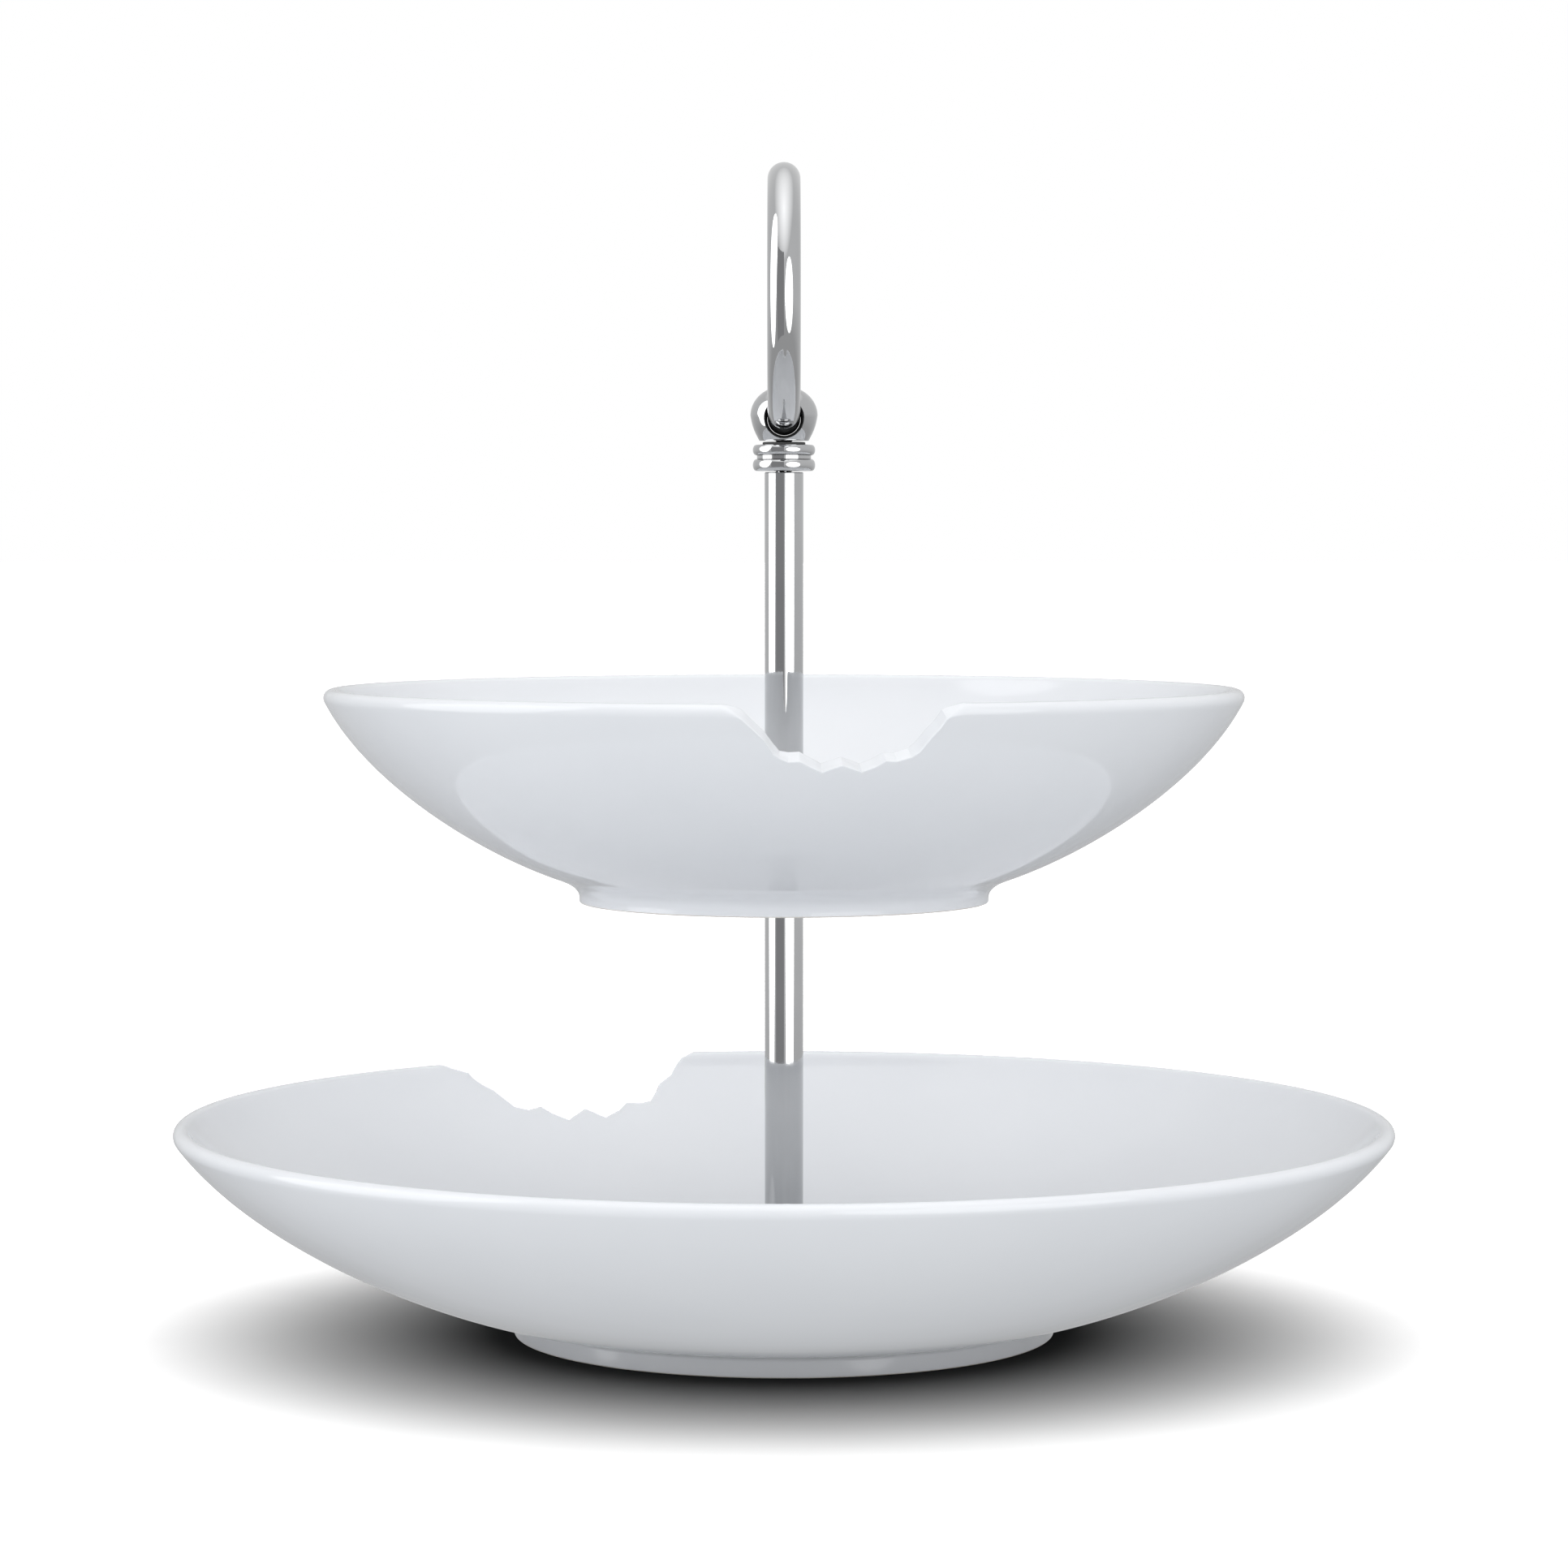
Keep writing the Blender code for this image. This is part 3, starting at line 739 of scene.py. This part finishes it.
def plug_piece(node):
    """Turned plug with a countersunk bore and two shallow grip grooves."""
    low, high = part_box(node)
    outer, inner, chamfer = high.x, BORE_RADIUS, PLUG_CHAMFER
    groove, half = outer - PLUG_GROOVE_DEPTH, PLUG_GROOVE_HALF
    outline = [(outer - chamfer, high.z), (outer, high.z - chamfer)]
    for share in PLUG_GROOVES:
        middle = high.z + (low.z - high.z) * share
        outline += [(outer, middle + 2 * half), (groove, middle + half)]
        outline += [(groove, middle - half), (outer, middle - 2 * half)]
    outline += [(outer, low.z + chamfer), (outer - chamfer, low.z)]
    outline += [(inner + chamfer, low.z), (inner, low.z + chamfer)]
    outline += [(inner, high.z - chamfer), (inner + chamfer, high.z)]
    mesh = lathe_mesh(node + "_fine", rounded(outline, PLUG_EDGE, 2), PLUG_COLUMNS)
    add_piece(node + "_fine", mesh, node)


def stud_piece():
    """Stud threaded from end to end."""
    node = "joint_stud"
    low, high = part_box(node)
    rows = ring_rows([(high.x - SHANK_CHAMFER, high.z)], STUD_COLUMNS)
    rows += thread_rows(high.x, low.z + THREAD_END, high.z - THREAD_END, STUD_COLUMNS)
    rows += ring_rows([(high.x - SHANK_CHAMFER, low.z)], STUD_COLUMNS)
    add_piece(node + "_fine", rows_mesh(node + "_fine", rows, high.z, low.z), node)


def screw_piece():
    """Domed slotted head with a threaded shank."""
    node = "base_screw"
    low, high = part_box(node)
    head_radius = high.x
    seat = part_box("base_washer")[0].z - GAP
    shank = BORE_RADIUS - GAP
    rows = ring_rows([(shank - SHANK_CHAMFER, high.z)], SCREW_COLUMNS)
    rows += thread_rows(shank, seat + THREAD_RELIEF, high.z - THREAD_END, SCREW_COLUMNS)
    edge = SCREW_HEAD_EDGE
    outline = [(shank, seat + 0.25 * MM), (shank + 0.1 * MM, seat), (head_radius - edge, seat)]
    outline += [(head_radius - edge / 4, seat - edge / 4), (head_radius, seat - edge)]
    dome_top = seat - SCREW_HEAD_RIM
    dome_height = dome_top - low.z
    for k in range(SCREW_HEAD_STEPS):
        turn = 0.5 * math.pi * k / SCREW_HEAD_STEPS
        outline.append((head_radius * math.cos(turn), dome_top - dome_height * math.sin(turn)))
    rows += ring_rows(outline, SCREW_COLUMNS)
    body = rows_mesh(node + "_fine", rows, high.z, low.z)
    box = bpy.data.meshes.new("slot_tool")
    x, y, z = head_radius * 1.2, SCREW_SLOT_WIDTH / 2, SCREW_SLOT_DEPTH
    corners = [(i * x, j * y, low.z + k * z) for i in (-1, 1) for j in (-1, 1) for k in (-1, 1)]
    sides = [(0, 1, 3, 2), (4, 6, 7, 5), (0, 4, 5, 1), (2, 3, 7, 6), (0, 2, 6, 4), (1, 5, 7, 3)]
    box.from_pydata(corners, [], sides)
    add_piece(node + "_fine", subtract(body, box), node)


# ---------------------------------------------------------------- finial and ring

def bead(bottom, height, radius, steps=20):
    """Outline of a round bead, from its top to its bottom."""
    middle = bottom + height / 2
    points = []
    for i in range(steps + 1):
        turn = math.pi * (0.5 - i / steps)
        at = GROOVE_RADIUS + (radius - GROOVE_RADIUS) * math.cos(turn) ** 0.8
        points.append((at, middle + height / 2 * math.sin(turn)))
    return points


def collar_piece():
    """Collar with two beads, with painted shade in the groove between them and on the neck over
    them.
    """
    node = "finial_collar"
    low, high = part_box(node)
    groove_bottom = low.z + LOWER_BEAD_HEIGHT
    groove_top = groove_bottom + GROOVE_HEIGHT
    neck_bottom = groove_top + UPPER_BEAD_HEIGHT
    neck = NECK_RADIUS - NECK_RECESS
    outline = [(neck - NECK_CHAMFER, high.z), (neck, high.z - NECK_CHAMFER), (neck, neck_bottom)]
    outline += bead(groove_top, UPPER_BEAD_HEIGHT, high.x)
    outline += bead(low.z, LOWER_BEAD_HEIGHT, high.x)
    outline += [(BORE_RADIUS, low.z), (BORE_RADIUS, high.z)]
    mesh = lathe_mesh(node + "_fine", outline, COLLAR_COLUMNS)
    mesh.materials.append(MATERIALS["chrome"])
    mesh.materials.append(PAINTED_JOINT_SHADE)
    # painted shade: faces on the neck and in the groove's corners get the dark material
    for polygon in mesh.polygons:
        centre = polygon.center
        at = math.hypot(centre.x, centre.y)
        outside = at > BORE_RADIUS + JOINT_CORNER
        in_neck = neck_bottom < centre.z < high.z
        by_groove = min(abs(centre.z - groove_bottom), abs(centre.z - groove_top)) < JOINT_CORNER
        in_corner = by_groove and at < GROOVE_RADIUS + 1.5 * JOINT_CORNER
        polygon.material_index = 1 if outside and (in_neck or in_corner) else 0
    add_piece(node + "_fine", mesh, node, COLLAR_SHARP)


def eye_piece():
    """Ball that narrows to a neck, with a flared cross bore painted dark as shade, and a threaded
    spigot.
    """
    node = "finial_eye"
    low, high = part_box(node)
    ring_low, ring_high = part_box("ring_handle")
    wire_level = ring_low.z + RING_WIRE_RADIUS
    ring_radius = (ring_high.z - ring_low.z) / 2 - RING_WIRE_RADIUS
    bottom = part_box("finial_collar")[1].z + GAP
    middle = wire_level + EYE_RISE
    radius = high.x
    outline = []
    for i in range(1, EYE_STEPS + 1):
        turn = 0.5 * math.pi * (1.0 - i / EYE_STEPS)
        outline.append((radius * math.cos(turn), middle + (high.z - middle) * math.sin(turn)))
    for t in np.linspace(0.1, 1.0, EYE_CONE_STEPS):
        at = radius + (NECK_RADIUS - radius) * t + EYE_CONE_BULGE * math.sin(math.pi * t)
        outline.append((at, middle + (bottom - middle) * t))
    spigot = BORE_RADIUS - GAP
    outline += [(NECK_RADIUS - 0.1 * MM, bottom), (spigot, bottom)]
    rows = ring_rows(outline, EYE_COLUMNS)
    rows += thread_rows(spigot, low.z + THREAD_END, bottom - THREAD_RELIEF, EYE_COLUMNS)
    rows += ring_rows([(spigot - SHANK_CHAMFER, low.z)], EYE_COLUMNS)
    body = rows_mesh(node + "_fine", rows, high.z, low.z)

    def bore_radius(offset):
        """Room for the ring's inner side at every angle that it swings to."""
        inner_edge = math.sqrt((ring_radius - RING_WIRE_RADIUS) ** 2 - offset * offset)
        return ring_radius - inner_edge + BORE_CLEARANCE

    reach = radius + BORE_OVERSHOOT
    bore = [(0.0, reach)]
    bore += [(bore_radius(offset), offset) for offset in np.linspace(reach, -reach, BORE_STEPS)]
    bore.append((0.0, -reach))
    tool = lathe_mesh("bore_tool", bore, BORE_COLUMNS, closed=False)
    turned = Matrix.Translation((0.0, 0.0, wire_level)) @ Matrix.Rotation(math.pi / 2, 4, "X")
    tool.transform(turned)
    eye = subtract(body, tool)
    eye.materials.clear()
    eye.materials.append(MATERIALS["chrome"])
    eye.materials.append(PAINTED_JOINT_SHADE)
    # painted shade: faces of the bore get the dark material
    for polygon in eye.polygons:
        centre = polygon.center
        from_axis = math.hypot(centre.x, centre.z - wire_level)
        in_bore = from_axis < bore_radius(centre.y) + BORE_MARGIN
        polygon.material_index = 1 if in_bore else 0
    add_piece(node + "_fine", eye, node, EYE_SHARP)


def ring_piece():
    """Round wire bent into a closed ring, upright in the YZ plane."""
    node = "ring_handle"
    low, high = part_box(node)
    centre = (low.z + high.z) / 2
    radius = (high.z - low.z) / 2 - RING_WIRE_RADIUS
    wire = RING_WIRE_RADIUS
    points = []
    for i in range(RING_STEPS):
        turn = math.tau * i / RING_STEPS
        for j in range(WIRE_STEPS):
            side = math.tau * j / WIRE_STEPS
            at = radius + wire * math.cos(side)
            y, z = at * math.sin(turn), centre - at * math.cos(turn)
            points.append((wire * math.sin(side), y, z))
    mesh = new_mesh(node + "_fine", points, grid_faces(RING_STEPS, WIRE_STEPS, True))
    add_piece(node + "_fine", mesh, node)


# ---------------------------------------------------------------- stage, lights and camera

CAMERA_PLACE = (0.0, -1.0611, 0.1837)
CAMERA_PITCH = 86.917
CAMERA_LENS = 106.04
CAMERA_SENSOR = 36.0
FLOOR_HALF = 30.0
FLOOR_LEVEL = -0.1 * MM
FLOOR_ALBEDO = 0.04
FLOOR_LIGHT = 122.0
FLOOR_LIGHT_SPREAD = 130.0
SHADE_RADIUS = 80.0 * MM
SHADE_LEVEL = -0.6 * MM
SHADE_STEPS = 64
SQUARE = ((-1, -1), (1, -1), (1, 1), (-1, 1))
SIX_WAYS = ((1, 0, 0), (-1, 0, 0), (0, 1, 0), (0, -1, 0), (0, 0, 1), (0, 0, -1))
# Azimuths are degrees from the camera, + to its right
# Softboxes: azimuth, distance, height of the middle, width and height
LEFT_BOX = (-78.5, 0.95, 0.61, (0.94, 1.70))
RIGHT_BOX = (35.0, 0.95, 0.26, (0.98, 1.05))
# Radiance of the left and right softboxes
PLATED_RADIANCE = (2.75, 2.45)
OTHERS_RADIANCE = (1.75, 1.55)
# Card: azimuths of its edges, distance, bottom, top and grey
DARK_CARD = (-49.0, 0.0, 1.3, -0.6, 1.2, 0.34)
CARD_STEPS = 12
GLOW_PLACE = (0.0, -0.25, 1.35)
GLOW_HALF = (1.1, 1.7)
GLOW_STRENGTH = 1.15
SURROUND = 0.17
SURROUND_HALF = 10.0
# The sky's strengths below, at and above the horizon, and where on its height they are reached
DIFFUSE_SKY = (0.52, 0.27, 0.43)
DIFFUSE_TINT = (0.985, 0.995, 1.0)
MIRRORED_SKY = (0.33, 0.56, 0.60)
MIRRORED_TINT = (0.99, 0.995, 1.0)
HORIZON = (0.30, 0.5, 0.70)
COOL_WHITE = (0.93, 0.98, 1.03)
SOFT_WHITE = (0.97, 0.99, 1.02)
WHITE = (1.0, 1.0, 1.0)
# Soft fills for the stand: azimuth, elevation, spread, strength and colour
FILLS = {
    "front_low": (-6.0, -25.0, 90.0, 0.69, COOL_WHITE),
    "front_mid": (0.0, 12.0, 50.0, 0.75, WHITE),
    "top": (0.0, 90.0, 60.0, 1.50, WHITE),
    "left": (-80.0, 7.0, 60.0, 1.00, SOFT_WHITE),
    "right": (80.0, 12.0, 60.0, 0.87, SOFT_WHITE),
}


def make_floor():
    """Floor that takes only its own light and the stand's shadow."""
    mesh = bpy.data.meshes.new("floor")
    corners = [(x * FLOOR_HALF, y * FLOOR_HALF, FLOOR_LEVEL) for x, y in SQUARE]
    mesh.from_pydata(corners, [], [(0, 1, 2, 3)])
    made, tree, shader = principled("pale_floor")
    grain = spread(tree, noise(tree, 40.0, 2.0), 0.0, 1.0)
    low, high = FLOOR_ALBEDO, FLOOR_ALBEDO * 1.02
    colour = blend_colours(tree, grain, (low, low, low), (high, high, high))
    tree.links.new(colour, shader.inputs["Base Color"])
    shader.inputs["Roughness"].default_value = 1.0
    shader.inputs["Specular IOR Level"].default_value = 0.0
    mesh.materials.append(made)
    floor = bpy.data.objects.new("floor", mesh)
    bpy.context.scene.collection.objects.link(floor)
    floor.visible_diffuse = False
    floor.visible_glossy = False
    floor.visible_shadow = False
    return floor


def sky_colour(tree, height, below, level, above, tint):
    """Background whose strength goes smoothly from below, through the horizon, to above."""
    ramp = tree.nodes.new("ShaderNodeValToRGB")
    tree.links.new(height, ramp.inputs[0])
    elements = ramp.color_ramp.elements
    elements.new(HORIZON[1])
    for element, position, value in zip(elements, HORIZON, (below, level, above)):
        element.position = position
        element.color = (value * tint[0], value * tint[1], value * tint[2], 1.0)
    back = tree.nodes.new("ShaderNodeBackground")
    tree.links.new(ramp.outputs["Color"], back.inputs["Color"])
    return back.outputs[0]


def make_world():
    """White where the camera sees it; soft greys in what lights the stand and what it mirrors."""
    world = bpy.data.worlds.new("studio")
    bpy.context.scene.world = world
    world.use_nodes = True
    tree = world.node_tree
    tree.nodes.clear()
    place = tree.nodes.new("ShaderNodeTexCoord")
    parts = tree.nodes.new("ShaderNodeSeparateXYZ")
    tree.links.new(place.outputs["Generated"], parts.inputs[0])
    height = spread(tree, parts.outputs["Z"], 0.0, 1.0, -1.0, 1.0)
    lit = sky_colour(tree, height, *DIFFUSE_SKY, DIFFUSE_TINT)
    mirrored = sky_colour(tree, height, *MIRRORED_SKY, MIRRORED_TINT)
    seen = tree.nodes.new("ShaderNodeBackground")
    seen.inputs["Color"].default_value = (1.0, 1.0, 1.0, 1.0)
    path = tree.nodes.new("ShaderNodeLightPath")
    for_rays = tree.nodes.new("ShaderNodeMixShader")
    for_camera = tree.nodes.new("ShaderNodeMixShader")
    out = tree.nodes.new("ShaderNodeOutputWorld")
    tree.links.new(path.outputs["Is Glossy Ray"], for_rays.inputs[0])
    tree.links.new(lit, for_rays.inputs[1])
    tree.links.new(mirrored, for_rays.inputs[2])
    tree.links.new(path.outputs["Is Camera Ray"], for_camera.inputs[0])
    tree.links.new(for_rays.outputs[0], for_camera.inputs[1])
    tree.links.new(seen.outputs[0], for_camera.inputs[2])
    tree.links.new(for_camera.outputs[0], out.inputs[0])


def receivers(name, objects):
    """Group of objects that a light can be kept to."""
    group = bpy.data.collections.new(name)
    for item in objects:
        group.objects.link(item)
    return group


def add_light(light, group):
    light.visible_camera = False
    bpy.context.scene.collection.objects.link(light)
    light.light_linking.receiver_collection = group


def softbox(name, azimuth, distance, height, size, radiance, group):
    """Upright oval light that faces the mast and shows only in one group's reflections."""
    data = bpy.data.lights.new(name, "AREA")
    data.shape = "ELLIPSE"
    data.size, data.size_y = size
    data.energy = math.pi * radiance * size[0] * size[1] * math.pi / 4
    light = bpy.data.objects.new(name, data)
    turn = math.radians(azimuth)
    place = Vector((math.sin(turn) * distance, -math.cos(turn) * distance, height))
    light.location = place
    towards = Vector((-place.x, -place.y, 0.0))
    light.rotation_euler = towards.to_track_quat("-Z", "Y").to_euler()
    light.visible_diffuse = False
    add_light(light, group)


def sky_light(name, azimuth, elevation, spread_degrees, strength, colour, group):
    """Very soft light on one group from one part of the sky, which no reflection shows."""
    data = bpy.data.lights.new(name, "SUN")
    data.energy = strength
    data.color = colour
    data.angle = math.radians(spread_degrees)
    light = bpy.data.objects.new(name, data)
    turn, rise = math.radians(azimuth), math.radians(elevation)
    source = Vector((
        math.sin(turn) * math.cos(rise), -math.cos(turn) * math.cos(rise), math.sin(rise)
    ))
    light.rotation_euler = (-source).to_track_quat("-Z", "Y").to_euler()
    light.visible_glossy = False
    add_light(light, group)


def make_surround(radiance, group):
    """Even light from six sides that only reflections in one group of pieces show."""
    for k, towards in enumerate(SIX_WAYS):
        data = bpy.data.lights.new(f"surround_{k}", "AREA")
        data.shape = "SQUARE"
        data.size = 2 * SURROUND_HALF
        data.energy = math.pi * radiance * data.size**2
        light = bpy.data.objects.new(f"surround_{k}", data)
        light.location = Vector(towards) * -SURROUND_HALF
        light.rotation_euler = Vector(towards).to_track_quat("-Z", "Y").to_euler()
        light.visible_diffuse = False
        add_light(light, group)


def make_card(name, azimuth_low, azimuth_high, distance, bottom, top, grey):
    """Curved grey card in front of the stand, which only reflections see."""
    mesh = bpy.data.meshes.new(name)
    points = []
    for k in range(CARD_STEPS + 1):
        turn = math.radians(azimuth_low + (azimuth_high - azimuth_low) * k / CARD_STEPS)
        x, y = math.sin(turn) * distance, -math.cos(turn) * distance
        points += [(x, y, bottom), (x, y, top)]
    faces = [(2 * k, 2 * k + 1, 2 * k + 3, 2 * k + 2) for k in range(CARD_STEPS)]
    mesh.from_pydata(points, [], faces)
    made = bpy.data.materials.new(name)
    made.use_nodes = True
    tree = made.node_tree
    tree.nodes.clear()
    glow = tree.nodes.new("ShaderNodeEmission")
    glow.inputs["Color"].default_value = (grey, grey, grey * 1.02, 1.0)
    out = tree.nodes.new("ShaderNodeOutputMaterial")
    tree.links.new(glow.outputs[0], out.inputs[0])
    mesh.materials.append(made)
    card = bpy.data.objects.new(name, mesh)
    bpy.context.scene.collection.objects.link(card)
    card.visible_camera = False
    card.visible_diffuse = False
    card.visible_shadow = False


def make_glow():
    """Overhead diffuser that only reflections see, bright in its middle and fading out."""
    mesh = bpy.data.meshes.new("overhead_glow")
    mesh.from_pydata([(x, y, 0) for x, y in SQUARE], [], [(0, 1, 2, 3)])
    made = bpy.data.materials.new("overhead_glow")
    made.use_nodes = True
    tree = made.node_tree
    tree.nodes.clear()
    fade = tree.nodes.new("ShaderNodeTexGradient")
    fade.gradient_type = "SPHERICAL"
    tree.links.new(coordinates(tree), fade.inputs["Vector"])
    strength = spread(tree, fade.outputs["Fac"], 0.0, GLOW_STRENGTH, 0.0, 1.0)
    glow = tree.nodes.new("ShaderNodeEmission")
    tree.links.new(strength, glow.inputs["Strength"])
    clear = tree.nodes.new("ShaderNodeBsdfTransparent")
    together = tree.nodes.new("ShaderNodeAddShader")
    out = tree.nodes.new("ShaderNodeOutputMaterial")
    tree.links.new(glow.outputs[0], together.inputs[0])
    tree.links.new(clear.outputs[0], together.inputs[1])
    tree.links.new(together.outputs[0], out.inputs[0])
    mesh.materials.append(made)
    card = bpy.data.objects.new("overhead_glow", mesh)
    card.location = GLOW_PLACE
    card.scale = (*GLOW_HALF, 1.0)
    bpy.context.scene.collection.objects.link(card)
    card.visible_camera = False
    card.visible_diffuse = False
    card.visible_shadow = False


def make_contact_shade():
    """Black disc just under the floor: the ground below the bowl sends no light back up."""
    points = [(0.0, 0.0, SHADE_LEVEL)]
    for k in range(SHADE_STEPS):
        turn = math.tau * k / SHADE_STEPS
        points.append((SHADE_RADIUS * math.cos(turn), SHADE_RADIUS * math.sin(turn), SHADE_LEVEL))
    faces = [(0, 1 + k, 1 + (k + 1) % SHADE_STEPS) for k in range(SHADE_STEPS)]
    mesh = bpy.data.meshes.new("contact_shade")
    mesh.from_pydata(points, [], faces)
    made, _, shader = principled("contact_shade")
    shader.inputs["Base Color"].default_value = (0.01, 0.01, 0.01, 1.0)
    shader.inputs["Roughness"].default_value = 1.0
    shader.inputs["Specular IOR Level"].default_value = 0.0
    mesh.materials.append(made)
    disc = bpy.data.objects.new("contact_shade", mesh)
    bpy.context.scene.collection.objects.link(disc)
    disc.visible_camera = False
    disc.visible_glossy = False


def make_camera():
    """Camera that took the photograph."""
    data = bpy.data.cameras.new("camera")
    data.lens = CAMERA_LENS
    data.sensor_width = CAMERA_SENSOR
    data.clip_start, data.clip_end = 0.01, 100.0
    camera = bpy.data.objects.new("camera", data)
    camera.location = CAMERA_PLACE
    camera.rotation_euler = (math.radians(CAMERA_PITCH), 0.0, 0.0)
    bpy.context.scene.collection.objects.link(camera)
    bpy.context.scene.camera = camera


# ---------------------------------------------------------------- the whole scene

bowl_piece(LOWER_BOWL)
bowl_piece(UPPER_BOWL)
for tube in ("lower_tube", "upper_tube"):
    sleeve_piece(tube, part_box(tube)[1].x - TUBE_WALL, METAL_EDGE, TUBE_COLUMNS)
for washer in ("base_washer", "lower_bowl_washer", "upper_bowl_under_washer", "upper_bowl_washer"):
    sleeve_piece(washer, BORE_RADIUS, METAL_EDGE)
for gasket in ("base_gasket", "lower_bowl_gasket", "upper_bowl_under_gasket", "upper_bowl_gasket"):
    sleeve_piece(gasket, BORE_RADIUS, GASKET_EDGE)
for bush in ("lower_bowl_bush", "upper_bowl_bush"):
    sleeve_piece(bush, BORE_RADIUS, BUSH_EDGE, BUSH_COLUMNS)
for tube in ("lower_tube", "upper_tube"):
    for end in ("foot", "head"):
        plug_piece(f"{tube}_{end}_plug")
stud_piece()
screw_piece()
collar_piece()
eye_piece()
ring_piece()

floor = make_floor()
make_world()
floor_only = receivers("floor_light_receivers", [floor])
sky_light("floor_light", 0.0, 90.0, FLOOR_LIGHT_SPREAD, FLOOR_LIGHT, WHITE, floor_only)
for fill_name, fill in FILLS.items():
    sky_light("fill_" + fill_name, *fill, stand)
mirrors = [piece for piece in stand.objects if piece.data.materials[0] == MATERIALS["chrome"]]
plated = receivers("plated", mirrors)
others = receivers("others", [piece for piece in stand.objects if piece not in mirrors])
for group, radiance in ((plated, PLATED_RADIANCE), (others, OTHERS_RADIANCE)):
    softbox("left_box", *LEFT_BOX, radiance[0], group)
    softbox("right_box", *RIGHT_BOX, radiance[1], group)
make_surround(SURROUND, plated)
make_glow()
make_contact_shade()
make_card("dark_card", *DARK_CARD)
make_camera()
bpy.context.scene.view_settings.view_transform = "Standard"
